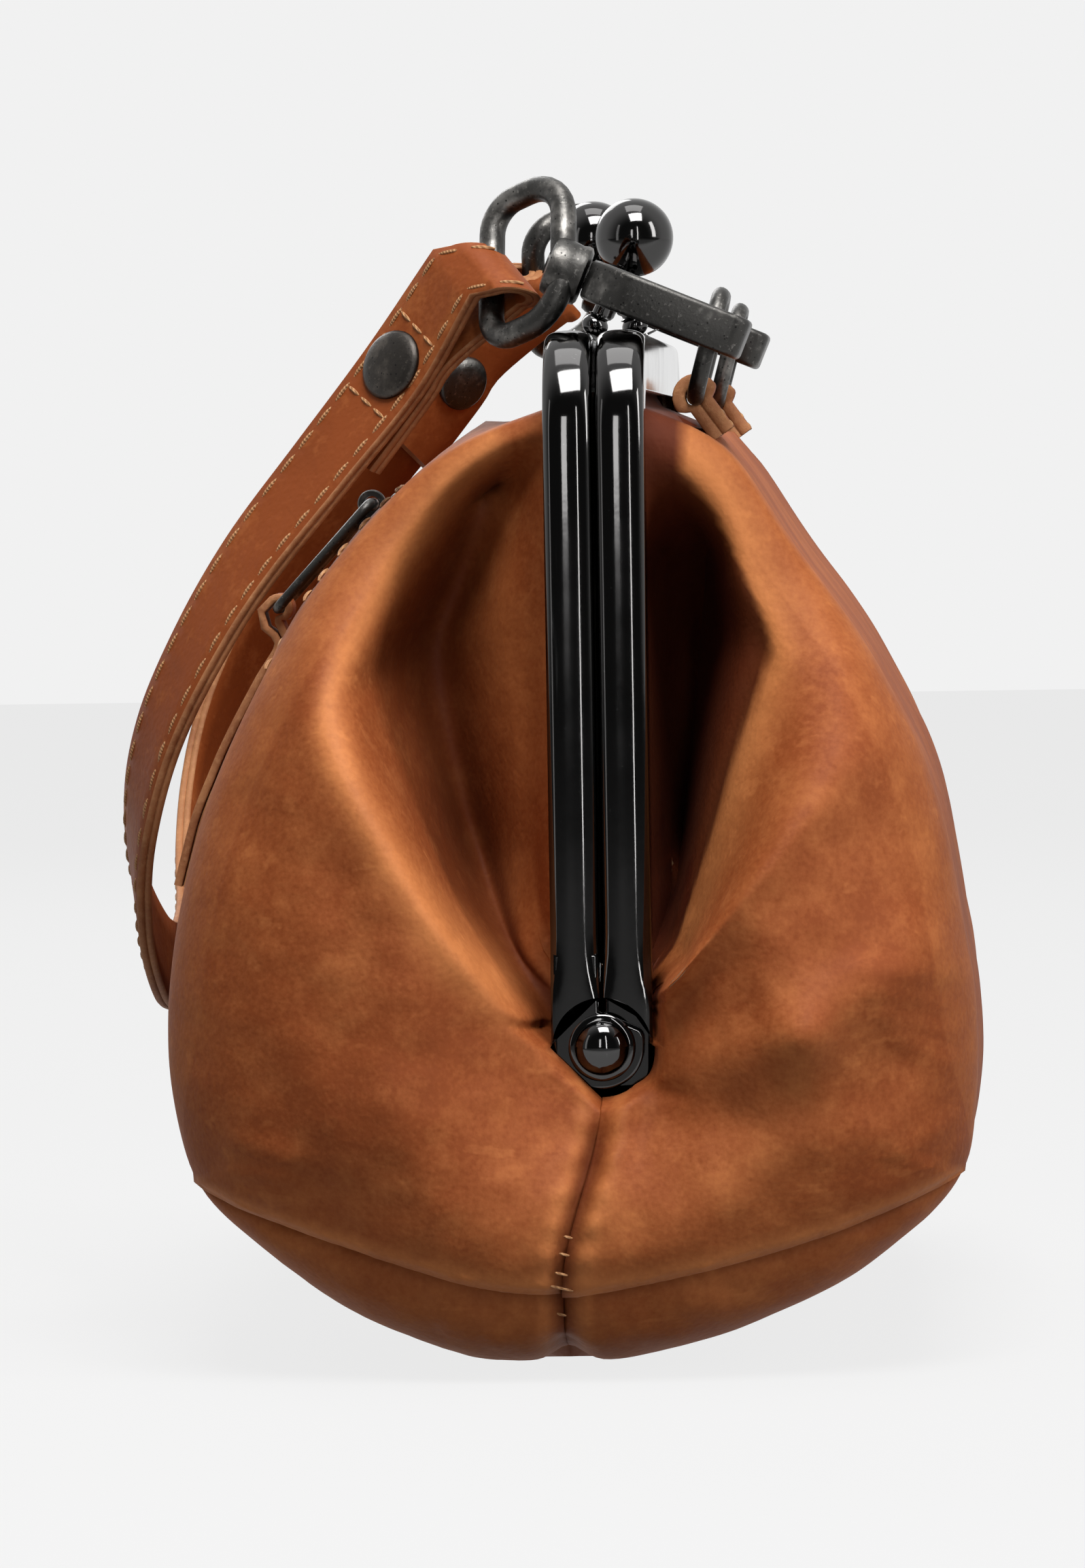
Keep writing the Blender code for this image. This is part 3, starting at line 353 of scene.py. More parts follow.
def leatherFinish(name, shift=0.0, gloss=0.0):
    finish, shader, coords = newFinish(name, IOR=1.46, Specular_IOR_Level=0.20)
    # first attribute: rubbed wear plus painted light on the gusset and base; fold attribute: painted shade
    wear = Sock(coords.tree, coords.add("ShaderNodeAttribute", {"attribute_name": "wear"}).outputs["Fac"])
    fold = Sock(coords.tree, coords.add("ShaderNodeAttribute", {"attribute_name": "fold"}).outputs["Fac"])
    patch = noise(coords, leather["patchScale"], 5.0, 0.6)
    mottle = noise(coords, leather["patchScale"] * 7, 4.0, 0.6)
    scratch = noise(coords, 260.0, 3.0, 0.6, (1.0, 0.16, 1.0))
    cloud = noise(coords, leather["patchScale"] * 2.6, 4.0, 0.65)
    pebble = noise(coords, leather["grainScale"] * 0.8, 2.0, 0.6)
    pale = patch.between(0.42, 0.72) * 0.26 + cloud.between(0.46, 0.74) * 0.18 + mottle.between(0.45, 0.75) * 0.22
    # paler for scratches, grain and rubbed wear, and for the painted light carried by the first attribute
    pale = pale + wear * 0.8 + scratch.between(0.62, 0.70) * 0.20 + (pebble - 0.5) * 0.5 + shift
    colour = pale.maths("MINIMUM", pale.maths("MAXIMUM", pale, 0.0), 1.0).tint(
        leather["mid"], leather["light"])
    # darker random patches, plus painted shade in folds and valleys from the fold attribute
    dark = patch.between(0.50, 0.28) * 0.16 + cloud.between(0.44, 0.26) * 0.14 + fold * 0.9
    colour = dark.maths("MINIMUM", dark, 1.0).tint(colour, leather["deep"])
    grain = cells(coords, leather["grainScale"], "Distance", "SMOOTH_F1")
    fine = noise(coords, leather["grainScale"] * 0.6, 3.0, 0.6)
    pores = cells(coords, leather["grainScale"] * 0.35)
    height = grain * 0.5 + fine * 0.5 + pores.between(0.0, 0.25) * 0.25
    rough = leather["rough"] - gloss + mottle * 0.16 - wear * 0.06 + fine * 0.08
    crease = noise(coords, 150.0, 3.0, 0.55)
    normal = bump(height, 0.35, 0.00022, bump(crease, 0.25, 0.0006))
    feed(shader, Base_Color=colour, Roughness=rough, Normal=normal)
    return finish


def rawEdgeFinish(name):
    finish, shader, coords = newFinish(name, IOR=1.45)
    fibre = noise(coords, 900.0, 4.0, 0.7)
    patch = noise(coords, 90.0, 4.0, 0.6)
    colour = patch.between(0.3, 0.7).tint((0.250, 0.085, 0.028), leather["raw"])
    colour = (fibre.between(0.45, 0.8) * 0.5).tint(colour, (0.560, 0.290, 0.130))
    feed(shader, Base_Color=colour, Roughness=0.62 + fibre * 0.2, Normal=bump(fibre, 0.5, 0.0003))
    return finish


def threadFinish(name, pale, dark):
    finish, shader, coords = newFinish(name, IOR=1.45)
    twist = coords.make("ShaderNodeTexWave", {"bands_direction": "DIAGONAL"}, 1, Vector=coords, Scale=900.0,
                        Distortion=1.5)
    fluff = noise(coords, 2200.0, 2.0, 0.6)
    colour = (twist * 0.6 + fluff * 0.4).tint(dark, pale)
    feed(shader, Base_Color=colour, Roughness=0.55 + fluff * 0.25, Normal=bump(twist, 0.6, 0.00012))
    return finish


def chromeFinish(name, tone=0.070):
    finish, shader, coords = newFinish(name, Metallic=1.0)
    smear = noise(coords, 60.0, 5.0, 0.6)
    dust = noise(coords, 1800.0, 2.0, 0.5)
    scuff = noise(coords, 700.0, 3.0, 0.5, (1.0, 1.0, 0.05))
    rub = scuff.between(0.68, 0.76) * 0.3 + dust.between(0.70, 0.80) * 0.3
    colour = rub.tint((tone, tone * 0.98, tone * 0.97), (0.22, 0.22, 0.22))
    rough = 0.05 + smear.between(0.35, 0.75) * 0.05 + rub * 0.25
    feed(shader, Base_Color=colour, Roughness=rough, Normal=bump(smear, 0.04, 0.0004))
    return finish


def antiqueFinish(name, tone=(0.055, 0.053, 0.050), bright=(0.30, 0.285, 0.265)):
    finish, shader, coords = newFinish(name, Metallic=1.0)
    speck = noise(coords, 1500.0, 4.0, 0.65)
    blotch = noise(coords, 170.0, 4.0, 0.6)
    pits = cells(coords, 1100.0)
    worn = blotch.between(0.50, 0.70) * 0.55 + speck.between(0.58, 0.72) * 0.45
    colour = worn.maths("MINIMUM", worn, 1.0).tint(tone, bright)
    colour = pits.between(0.20, 0.06).tint(colour, (0.018, 0.017, 0.017))
    rough = 0.30 + speck * 0.22 - worn * 0.08
    feed(shader, Base_Color=colour, Roughness=rough, Normal=bump(speck, 0.22, 0.00025))
    return finish


def wovenFinish(name, pale, dark, scale):
    finish, shader, coords = newFinish(name, IOR=1.45)
    warp = coords.make("ShaderNodeTexWave", {"bands_direction": "X"}, 1, Vector=coords, Scale=scale,
                       Distortion=0.6)
    weft = coords.make("ShaderNodeTexWave", {"bands_direction": "Z"}, 1, Vector=coords, Scale=scale,
                       Distortion=0.6)
    cloth = warp.maths("MAXIMUM", warp, weft)
    age = noise(coords, 60.0, 4.0, 0.6)
    colour = (cloth * 0.55 + age * 0.45).tint(dark, pale)
    feed(shader, Base_Color=colour, Roughness=0.78 + age * 0.15, Normal=bump(cloth, 0.5, 0.0003))
    return finish


tan = leatherFinish("tan_leather")
strapTan = leatherFinish("strap_leather", shift=-0.12, gloss=0.08)
rawEdge = rawEdgeFinish("raw_leather_edge")
thread = threadFinish("tan_thread", (0.560, 0.300, 0.130), (0.250, 0.100, 0.035))
blackChrome = chromeFinish("black_chrome")
oldMetal = antiqueFinish("antique_gunmetal")
darkCap = antiqueFinish("rivet_gunmetal", (0.045, 0.040, 0.036), (0.15, 0.13, 0.11))
liningCloth = wovenFinish("lining_cotton", (0.300, 0.170, 0.090), (0.150, 0.075, 0.035), 520.0)
tapeCloth = wovenFinish("zip_tape_cotton", (0.120, 0.050, 0.026), (0.045, 0.018, 0.010), 700.0)
paperCord = wovenFinish("paper_cord", (0.500, 0.400, 0.280), (0.300, 0.220, 0.140), 900.0)
toothMetal = antiqueFinish("zip_teeth_metal", (0.110, 0.050, 0.026), (0.36, 0.20, 0.11))
print("finishes made")


# the leather skin: a fan of ribs round the hinge line, folded in beside the frame

skin = {"straight": 26, "baseCols": 16, "outerCols": 62, "wall": 0.3, "offset": 6.8, "straightX": 74.0,
        "reachX": 102.5, "topX": 80.5, "cornerShare": 0.62, "topAngle": 84.0, "valleyX": 78.5,
        "dip": {front: 20.0, rear: 36.0}, "dipAt": {front: 0.54, rear: 0.90}, "turn": {front: 0.60, rear: 0.09},
        "dish": 9.0, "shoulder": 6.0, "bulge": 0.7, "seamDrift": 5.4, "lip": 3.9,
        "hingeGap": 6.3, "nearGap": 4.6,
        "split": {front: 16.0, rear: 38.0}, "relax": {front: 14, rear: 4}}
zipper = {"angle": 70.0, "droop": 17.0, "slot": 8.0, "endX": 70.5, "straightX": 49.0, "halfAngle": 3.2,
          "lowAngle": 20.0, "pitch": 1.9}
outlines = {    # outwards and up, from the middle of the base to the frame
    front: [(0, 0.4), (8, 0.5), (15.5, 1.2), (24.5, 3.6), (31.2, 6.1), (36.2, 8.8), (42.4, 13.4),
            (48.4, 18.4),
            (52.2, 22.2), (54.3, 26.0), (55.8, 31.5), (56.8, 38), (57.0, 44), (56.6, 50.5), (55.2, 59.5),
            (52.6, 69.9), (48.6, 80.2), (43.0, 91.2), (37.8, 100), (34.2, 105), (30.7, 109.4), (25.2, 115),
            (21.6, 118), (17.6, 121), (12.8, 124), (8.4, 126.0)],
    rear: [(0, 0.4), (7.3, 0.7), (16.2, 3.2), (22, 5.8), (31.5, 11), (39.5, 17), (42.8, 20), (45.3, 23.2),
           (47, 27), (47.8, 33), (48.2, 40), (47.9, 48), (47, 54), (46, 60), (44.6, 68), (42.8, 75),
           (40.6, 81), (37.6, 87), (34.6, 92.5), (31, 98), (27, 103.5), (23.4, 109), (20, 114.5), (16.6, 119),
           (13.2, 122.8), (10, 125.2), (8.4, 126.0)]}
creases = {    # top edge of the outer lobe, as seen from the end: outwards, up
    front: [(9.6, 124.0), (25.6, 104.6), (33.6, 88.6), (33.0, 81.5), (28.6, 71.5), (19.4, 57.6), (12.6, 49.4),
            (8.6, 44.6), (6.4, 42.0)],
    rear: [(9.5, 122.2), (17.2, 106.5), (22.4, 94.0), (21.2, 88.5), (17.6, 78.5), (14.0, 67.4), (10.0, 56.0),
           (7.6, 48.6), (6.8, 43.4)]}


def fanShift(angle):
    return skin["offset"] * smooth((angle - 34) / 42)


def outlineRadius(side, angles):    # distance from the hinge to the outline along each rib
    line = spline(outlines[side], 900)
    radii = []
    for angle in angles:
        u, v = math.cos(math.radians(angle)), math.sin(math.radians(angle))
        y, z = line[:, 0] - float(fanShift(angle)), line[:, 1] - purse["hingeZ"]
        cross = u * z - v * y
        along = u * y + v * z
        hit = np.nonzero((cross[:-1] <= 0) & (cross[1:] > 0) & (along[:-1] > 0))[0]
        i = hit[0] if len(hit) else 0
        t = cross[i] / (cross[i] - cross[i + 1]) if len(hit) else 0.0
        radii.append(mix(along[i], along[i + 1], t))
    return np.array(radii)


def creaseAngle(side, radius):    # fan angle of the crease at a distance from the hinge
    angles, radii = [], []
    for y, z in spline(creases[side], 60):
        angle = 60.0
        for _ in range(40):
            angle = math.degrees(math.atan2(z - purse["hingeZ"], y - float(fanShift(angle))))
        angles.append(angle)
        radii.append(math.hypot(y - float(fanShift(angle)), z - purse["hingeZ"]))
    order = np.argsort(radii)
    return np.interp(radius, np.array(radii)[order], np.array(angles)[order])


def boxSeamHeight(side, y):    # height of the sewn edge of the base panel
    if side == front:
        return 11.5 + 12.2 * (np.clip(y - 3, 0, None) / 48.5) ** 1.5
    return 11.0 + 14.3 * (np.clip(y, 0, None) / 47) ** 1.35


def boxSeamRadius(side, angle, reach):    # None above the corner where the seam starts
    radius = np.linspace(5, reach, 500)
    height = purse["hingeZ"] + radius * math.sin(math.radians(angle))
    below = height < boxSeamHeight(side, radius * math.cos(math.radians(angle)))
    return radius[np.argmax(below)] if below.any() else None


def ripple(u, v, scale, seed):    # gentle unevenness from a few crossed waves
    total = 0.0
    for k in range(5):
        turn = seed + k * 2.399
        wave = 6.283 * (1 + 0.37 * k) / scale
        along = (u * math.cos(turn) + v * math.sin(turn)) * wave
        total = total + np.sin(along + seed * 3.1 + k * 1.7) / (1 + 0.5 * k)
    return total / 2.6


def ridge(u, v, a, b, width):    # 1 along the line a to b, falling off to its sides
    a, b = np.array(a, float), np.array(b, float)
    run = b - a
    t = np.clip(((u - a[0]) * run[0] + (v - a[1]) * run[1]) / run.dot(run), 0, 1)
    away = np.hypot(u - a[0] - t * run[0], v - a[1] - t * run[1])
    return np.exp(-(away / width) ** 2) * smooth(t * 5) * smooth((1 - t) * 5)


def resample(line, count, last):    # evenly spaced points along a polyline
    line = np.array(line)
    run = np.concatenate([[0], np.cumsum(np.hypot(*np.diff(line, axis=0).T))])
    at = np.linspace(0, run[-1], count, endpoint=last)
    return np.stack([np.interp(at, run, line[:, 0]), np.interp(at, run, line[:, 1])], 1)


def edgeGap(side, angle):    # how close the visible edge comes to the hinge, and where the leather ends
    turn = np.radians(np.clip(angle, -90, skin["split"][side]))
    if side == front:
        edge = np.minimum(skin["nearGap"] / np.cos(turn + math.pi / 4), 9.4)
    else:
        beside = 6.8 / (np.cos(turn) - 0.05 * np.sin(turn))
        edge = mix(skin["hingeGap"], beside, smooth((angle + 50) / 45))
    return edge, mix(edge, 4.2, smooth(angle / 14))


# radius and X along one rib, from the straight part to the hinge
def endPath(side, angle, reach, cornerAngle):
    s = skin
    far = mix(s["reachX"], s["topX"], smooth((angle - 48) / 34))
    corner = s["cornerShare"] * reach
    gap = edgeGap(side, angle)[1]

    def lobe(radius):
        grow = np.clip((radius - (reach - corner)) / corner, 0, 1)
        return s["straightX"] + (far - s["straightX"]) * np.sqrt(np.clip(1 - grow ** 2, 0, 1))

    seam = boxSeamRadius(side, angle, reach)
    if seam is None:
        start = reach - 0.10 * reach * float(smooth((angle - cornerAngle) / 25))
        radius = reach - (reach - start) * (1 - np.cos(np.linspace(0, math.pi / 2, 60)))
        base = np.stack([radius, lobe(radius)], 1)
        radius = np.concatenate([start - (start - reach + corner) * (1 - np.cos(np.linspace(0, math.pi / 2, 120))),
                                 np.linspace(reach - corner, gap, 80)[1:]])
        outer = np.stack([radius, lobe(radius)], 1)
        seam = reach + 60
    else:
        edge = float(lobe(np.array(seam)))
        rise = max(edge - s["lip"] - s["straightX"], 0.3)
        radius = seam + (reach - seam) * np.cos(np.linspace(0, math.pi / 2, 80))
        under = (radius - seam) / max(reach - seam, 1e-3)
        base = np.stack([radius, s["straightX"] + rise * np.sqrt(np.clip(1 - under ** 2.4, 0, 1))], 1)
        base = np.vstack([base, [(seam - 1.4, edge - s["lip"] - 0.2)]])
        turnIn = [(seam + 0.25, edge - 2.2), (seam + 0.55, edge - 1.3), (seam + 0.5, edge - 0.5),
                  (seam + 0.1, edge + 0.1)]
        radius = np.linspace(seam - 0.6, gap, 200)
        puff = 0.9 * np.exp(-((seam - radius) / 6.0) ** 2)
        outer = np.vstack([turnIn, np.stack([radius, lobe(radius) + puff], 1)])
    return np.vstack([resample(base, s["baseCols"], False), resample(outer, s["outerCols"], True)]), seam


def foldIn(side, angle, radius, x):    # the end folds in from the crease to the frame
    s = skin
    x = x - s["dish"] * (1 - smooth((radius - 4) / 24)) * smooth((60 - angle) / 30)
    crease = creaseAngle(side, radius)
    past = np.radians(angle - crease) * radius
    room = np.radians(s["topAngle"] + 2 - crease) * radius
    inside = np.clip(past, 0, None)
    share = inside / np.maximum(room, mix(1.0, 11.0, smooth((radius - 58) / 20)))
    quick = mix(0.15, s["turn"][side], smooth((radius - 12) / 30))
    turned = smooth(share / mix(quick, 0.7, smooth((radius - 50) / 22)))
    dip = (s["dip"][side] * np.exp(-((share - s["dipAt"][side]) / 0.33) ** 2)
           * smooth((radius - 9) / 18) * smooth((92 - radius) / 18))
    x = mix(x, np.minimum(s["valleyX"] - dip, x), turned)
    edge = edgeGap(side, angle)[0]
    x = mix(x, np.minimum(90.5, x), smooth((edge + 1.8 - radius) / 1.8) ** 1.6)
    behind = smooth(angle / 14) * smooth((edge + 0.5 - radius) / 1.5)
    x = mix(x, np.minimum(80.0, x), behind)
    # a paler rubbed band along the crease
    wear = np.exp(-((past + 0.4) / 3.4) ** 2) * smooth((radius - 8) / 10)
    if side == front:
        # front: the valley is painted darker as painted shade, the inner gusset painted lighter as painted light
        inner = smooth((share - 0.6) / 0.25)
        wear = wear + 0.3 * inner
        shade = turned * smooth(share / 0.4) * mix(0.65, 0.0, inner)
    else:
        # rear: painted shade, dark from the crease on into the turned-in end
        shade = smooth(share / 0.10)
    return x, wear, shade


def endCreases(side, x, y, z, amount):    # soft folds and small wrinkles pushed into the end
    if side == rear:
        x = x + amount * 1.9 * ridge(y, z, (6, 38.5), (32, 44.5), 4.6)
        x = x + amount * 2.0 * ridge(y, z, (20, 41.5), (47, 57), 4.6)
        x = x - amount * 1.2 * ridge(y, z, (10, 52), (42, 72), 7.0)
        x = x - amount * 0.7 * ridge(y, z, (12, 30), (44, 41), 4.5)
        for k in range(4):
            x = x + amount * 0.45 * ridge(y, z, (30 + 2 * k, 53 - 3.0 * k), (47, 50 - 3.8 * k), 1.5)
        for k in range(3):
            x = x + amount * 0.5 * ridge(y, z, (36 + 2.5 * k, 27 - k), (47, 33 - 5 * k), 1.4)
        x = x - amount * 0.7 * ridge(y, z, (3.2, 37.2), (12, 36.4), 1.4)
    else:
        x = x + amount * 1.0 * ridge(y, z, (8, 38), (40, 33), 7.0)
        x = x - amount * 1.0 * ridge(y, z, (28, 62), (50, 76), 5.0)
        for k in range(3):
            x = x + amount * 0.6 * ridge(y, z, (36 + 2 * k, 28 - 2 * k), (50, 31 - 4 * k), 1.5)
    return x


def zipDroop(x):
    return zipper["droop"] * smooth((np.abs(x) - zipper["straightX"]) / (skin["straightX"] - zipper["straightX"]))


def bentAngle(angle, droop):    # ribs beside the zip droop with it
    low, half, mid, top = zipper["lowAngle"], zipper["halfAngle"], zipper["angle"], skin["topAngle"]
    above = mix(mid + half - droop, top, (angle - mid - half) / (top - mid - half))
    below = mix(low, mid - half - droop, (angle - low) / (mid - half - low))
    bent = np.where(angle > mid + half, above, np.where(angle < mid - half, below, angle - droop))
    return np.where(angle < low, angle, bent)


def straightPoint(side, angle, x, reaches):    # a point on the long side of the bag
    angles, radii = reaches
    radius = np.interp(angle, angles, radii)
    swell = (skin["bulge"] * np.clip(1 - (x / skin["straightX"]) ** 2, 0, 1)
             * smooth((70 - np.abs(angle - 5)) / 60))
    z = purse["hingeZ"] + (radius + swell) * np.sin(np.radians(angle))
    y = fanShift(angle) + (radius + swell) * np.cos(np.radians(angle))
    calm = smooth((skin["straightX"] - np.abs(x)) / 14)
    y = y + 0.6 * ripple(x, z, 46.0, 1.3 + side) * calm * smooth((100 - z) / 20) * smooth((z - 3) / 12)
    return y, z


def frameRow(across, depth, more=0.0):    # a row along the frame bar, at a depth inside its outer edge
    s, p = skin, purse
    row = [((p["armX"] - p["corner"]) * i / s["straight"], across, p["topZ"] - depth)
           for i in range(s["straight"])]
    r = p["corner"] - depth
    for i in range(s["baseCols"]):
        turn = math.radians(90 * i / s["baseCols"])
        row.append((p["armX"] - p["corner"] + r * math.sin(turn), across,
                    p["topZ"] - p["corner"] + r * math.cos(turn)))
    low = p["hingeZ"] + 4.6 + 2.4 * float(smooth((10 - depth) / 2))    # clear of the other half's lug
    for t in np.linspace(0, 1, s["outerCols"]):
        sunk = depth + more * float(smooth(t / 0.3) * smooth((1 - t) / 0.25))
        close = mix(1.0, 0.6, float(smooth((t - 0.80) / 0.18)))
        row.append((p["armX"] - sunk, across * close, mix(p["topZ"] - p["corner"], low, t)))
    return np.array(row)


def ribAngles():
    z = zipper
    low, high = z["angle"] - z["halfAngle"], z["angle"] + z["halfAngle"]
    return np.concatenate([np.linspace(-90, z["lowAngle"], 92, endpoint=False),
                           np.linspace(z["lowAngle"], low, 42, endpoint=False),
                           np.linspace(low, high, 5, endpoint=False),
                           np.linspace(high, skin["topAngle"], 14)])


def relaxed(points, amount, times):    # evens out a fold, where amount is above 0
    for _ in range(times):
        calm = points.copy()
        calm[1:-1, 1:-1] = (points[:-2, 1:-1] + points[2:, 1:-1] + points[1:-1, :-2] + points[1:-1, 2:]) / 4
        points = mix(points, calm, 0.7 * amount[..., None])
    return points


def skinHalf(side):    # points, values of wear and painted light, and of painted shade, of the near half of one skin, row by row from the base
    s, p = skin, purse
    angles = ribAngles()
    reach = outlineRadius(side, angles)
    sewn = [a for a, r in zip(angles, reach) if boxSeamRadius(side, a, r) is not None]
    paths, seams = zip(*[endPath(side, a, r, max(sewn)) for a, r in zip(angles, reach)])
    paths, seams = np.array(paths), np.array(seams)
    sX = s["straightX"] * np.arange(s["straight"]) / s["straight"]
    columns = paths.shape[1]
    droop = zipDroop(sX) if side == front else np.zeros(len(sX))
    fade = np.clip(1 - np.arange(columns) / 26, 0, 1)
    endDroop = zipper["droop"] * smooth(fade) if side == front else np.zeros(columns)
    aSide = bentAngle(angles[:, None], droop[None])
    aEnd = bentAngle(angles[:, None], endDroop[None])
    y1, z1 = straightPoint(side, aSide, sX[None], (angles, reach))
    across = np.abs(np.radians(aSide - (zipper["angle"] - droop[None])) * reach[:, None])
    if side == front:    # turned and stitched edges of the zip slot
        lipUp = 0.55 * smooth(1 - (across - zipper["slot"] / 2) / 3.2) * (sX[None] < zipper["endX"])
        y1 = y1 + lipUp * 0.74
        z1 = z1 + lipUp * 0.67
    radius, x2 = np.empty_like(aEnd), np.empty_like(aEnd)
    for j in range(columns):
        radius[:, j] = np.interp(aEnd[:, j], angles, paths[:, j, 0])
        x2[:, j] = np.interp(aEnd[:, j], angles, paths[:, j, 1])
    x2, wear, shade = foldIn(side, aEnd, radius, x2)
    near = np.clip(1.6 * wear + shade, 0, 1)
    near[:, :s["baseCols"] + 2] = 0
    # ribs close up behind the arm
    y2 = fanShift(aEnd) * np.minimum(radius / 12.5, 1) + radius * np.cos(np.radians(aEnd))
    z2 = p["hingeZ"] + radius * np.sin(np.radians(aEnd))
    z2 = z2 + (s["shoulder"] * np.exp(-((x2 - 79) / 9) ** 2) * np.exp(-((y2 - 11) / 6.0) ** 2)
               * smooth((z2 - 106) / 10))
    amount = smooth((x2 - s["straightX"]) / 12)
    x2 = endCreases(side, x2, y2, z2, amount)
    x2 = x2 + amount * (0.45 * ripple(y2 * side, z2, 34.0, 0.7 + side)
                        + 0.2 * ripple(y2 * side, z2, 12.0, 2.1 + side))
    onLip = np.exp(-((radius - seams[:, None] + 0.5) / 1.5) ** 2)
    onLip[:, :s["baseCols"]] = 0
    wear = wear + 0.8 * onLip
    # base panel painted paler: painted light reflected up from the pale floor
    wear[:, :s["baseCols"]] += 0.2
    gap = np.radians(angles + 90)[:, None] * radius    # side seam, where the two skins meet below the hinge
    groove = np.exp(-(gap / 1.6) ** 2) * smooth((radius - 7.5) / 6)
    pucker = 0.16 * np.sin(radius * 2 * math.pi / 4.2) * np.exp(-((gap - 2.2) / 1.6) ** 2)
    x2 = x2 - (groove * 1.7 - pucker) * amount
    if side == rear:    # the rear half rolls over the seam below the hinge
        x2 = x2 + (1.5 * amount * np.exp(-((gap - 2.8) / 2.4) ** 2)
                   * smooth((radius - 4) / 4) * smooth((26 - radius) / 14))
    z2 = z2 + 2.0 * np.exp(-(gap / 2.6) ** 2) * smooth((radius - 36) / 4)
    under = (seams[:, None] < radius + 0.5) * smooth((x2 - s["straightX"]) / 4)
    x2 = x2 + under * (0.5 * ripple(y2 * side, z2 * 2.2, 15.0, 1.1 + side)
                       + 0.22 * ripple(y2 * side * 2.0, z2, 7.0, 0.3 + side))
    wear = wear + 0.45 * np.exp(-((gap - 2.4) / 1.2) ** 2) * amount
    # painted shade along the side seam groove
    shade = shade + 0.8 * groove * amount
    x = np.concatenate([np.repeat(sX[None], len(angles), 0), x2], 1)
    y = np.concatenate([y1, y2], 1) * side
    z = np.concatenate([z1, z2], 1)
    y = y - s["seamDrift"] * smooth((37 - z) / 27) * (1 - smooth(np.abs(y) / 34))
    near = np.concatenate([np.zeros((len(angles), len(sX))), near], 1)
    rows = [relaxed(np.stack([x, y, z], 2), near, s["relax"][side])]
    for out, depth, more in ((8.2, 12.4, 26), (6.8, 10.6, 17), (5.2, 9.7, 8), (4.2, 9.2, 2), (3.2, 7.6, 0),
                             (3.2, 3.0, 0)):
        rows.append(frameRow(out * side, depth, more if side == rear else 0.0)[None])
    blank = np.zeros((len(angles), len(sX)))
    wear = np.concatenate([blank, wear], 1)
    shade = np.concatenate([blank, shade], 1)
    extra = len(rows) - 1
    wear = np.vstack([wear, np.zeros((extra, wear.shape[1]))])
    # rows by the frame: no painted shade at the front, full painted shade beside the rear arm
    shade = np.vstack([shade, np.full((extra, shade.shape[1]), 0.0 if side == front else 1.0)])
    whole = np.concatenate(rows)
    round = smooth((whole[..., 0] - 58) / 14) * smooth((whole[..., 2] - 98) / 12)
    round[-3:] = 0
    whole = relaxed(whole, round, 16)
    return whole, np.clip(wear, 0, 1), np.clip(shade, 0, 1)


def wholeWidth(half, flip=False):    # mirror a near half to the far end
    far = half[:, :0:-1].copy()
    if flip:
        far[..., 0] *= -1
    return np.concatenate([far, half], 1)


def cutSlot(bm, columns):    # open the skin over the zip
    angles = ribAngles()
    low = int(np.argmin(np.abs(angles - zipper["angle"] + zipper["halfAngle"])))
    high = int(np.argmin(np.abs(angles - zipper["angle"] - zipper["halfAngle"])))
    gone = []
    for f in bm.faces:
        rows = [v.index // columns for v in f.verts]
        away = [abs(v.index % columns - columns // 2) for v in f.verts]
        if min(rows) >= low and max(rows) <= high and max(away) < skin["straight"] * zipper["endX"] / skin["straightX"]:
            gone.append(f)
    bmesh.ops.delete(bm, geom=gone, context="FACES")


def skinPiece(side, name, half, wear, shade):
    points = wholeWidth(half, True)
    bm = gridMesh(points)
    bm.verts.ensure_lookup_table()
    # first attribute: rubbed wear and painted light; fold: painted shade in folds, valleys and the seam groove
    for label, values in (("wear", wholeWidth(wear)), ("fold", wholeWidth(shade))):
        layer = bm.verts.layers.float.new(label)
        for v, value in zip(bm.verts, values.reshape(-1)):
            v[layer] = float(value)
    if side == front:
        cutSlot(bm, points.shape[1])
    else:
        bmesh.ops.reverse_faces(bm, faces=bm.faces)
    piece = addPiece(name, bm, [tan, liningCloth, rawEdge], None, (), 70)
    wall = piece.modifiers.new("wall", "SOLIDIFY")
    wall.thickness = skin["wall"] * mm
    wall.offset = -1
    wall.material_offset = 1
    wall.material_offset_rim = 2
    return piece


halves = {side: skinHalf(side) for side in (front, rear)}
frontSkin = skinPiece(front, "front_skin", *halves[front])
rearSkin = skinPiece(rear, "rear_skin", *halves[rear])
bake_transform(frontSkin)
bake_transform(rearSkin)
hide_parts("front_leather", "base_leather")
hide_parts("rear_leather", "lining")


def seamStitches():    # tan thread where the side seam meets the base seam
    line = halves[front][0][0, skin["straight"]:]
    spots = []
    for z, wide in ((18.6, 1.1), (16.2, 1.3), (14.0, 1.6), (11.9, 3.4), (8.6, 1.2)):
        i = int(np.argmin(np.abs(line[:, 2] - z)))
        tilt = unit(np.array((0, 1, -0.25)))
        spots.append((line[i] + np.array((1.15, -0.2, 0)), tilt, np.array((1.0, 0, 0)), wide))
    return stitchMesh(spots, 0.17)


addPair("seam_stitches", seamStitches(), thread, "base")
print("leather skins made")


# the metal frame

def barSection(side):    # open channel with a crowned outer face, across and inwards
    p = purse
    low, high, wall = p["barIn"], p["barOut"], p["wall"]
    half, mid = (high - low) / 2, (high + low) / 2
    pts = [(low, p["barWide"]), (low, p["edge"] + 0.6)]
    for t in np.radians(np.linspace(180, 360, 23)):    # a squared-off round
        c, d = math.cos(t), max(-math.sin(t), 0.0)
        pts.append((mid + half * math.copysign(abs(c) ** 0.75, c), p["edge"] * (1 - d ** 0.8)))
    pts += [(high, p["edge"] + 0.6), (high, p["barWide"] - 0.4)]
    pts += arcPoints((high - 0.4, p["barWide"] - 0.4), 0.4, 0, 90, 3)[1:]
    pts += [(high - wall, p["barWide"]), (high - wall, p["edge"] + 0.8), (low + wall, p["edge"] + 0.8),
            (low + wall, p["barWide"])]
    return [(side * y, depth) for y, depth in pts]


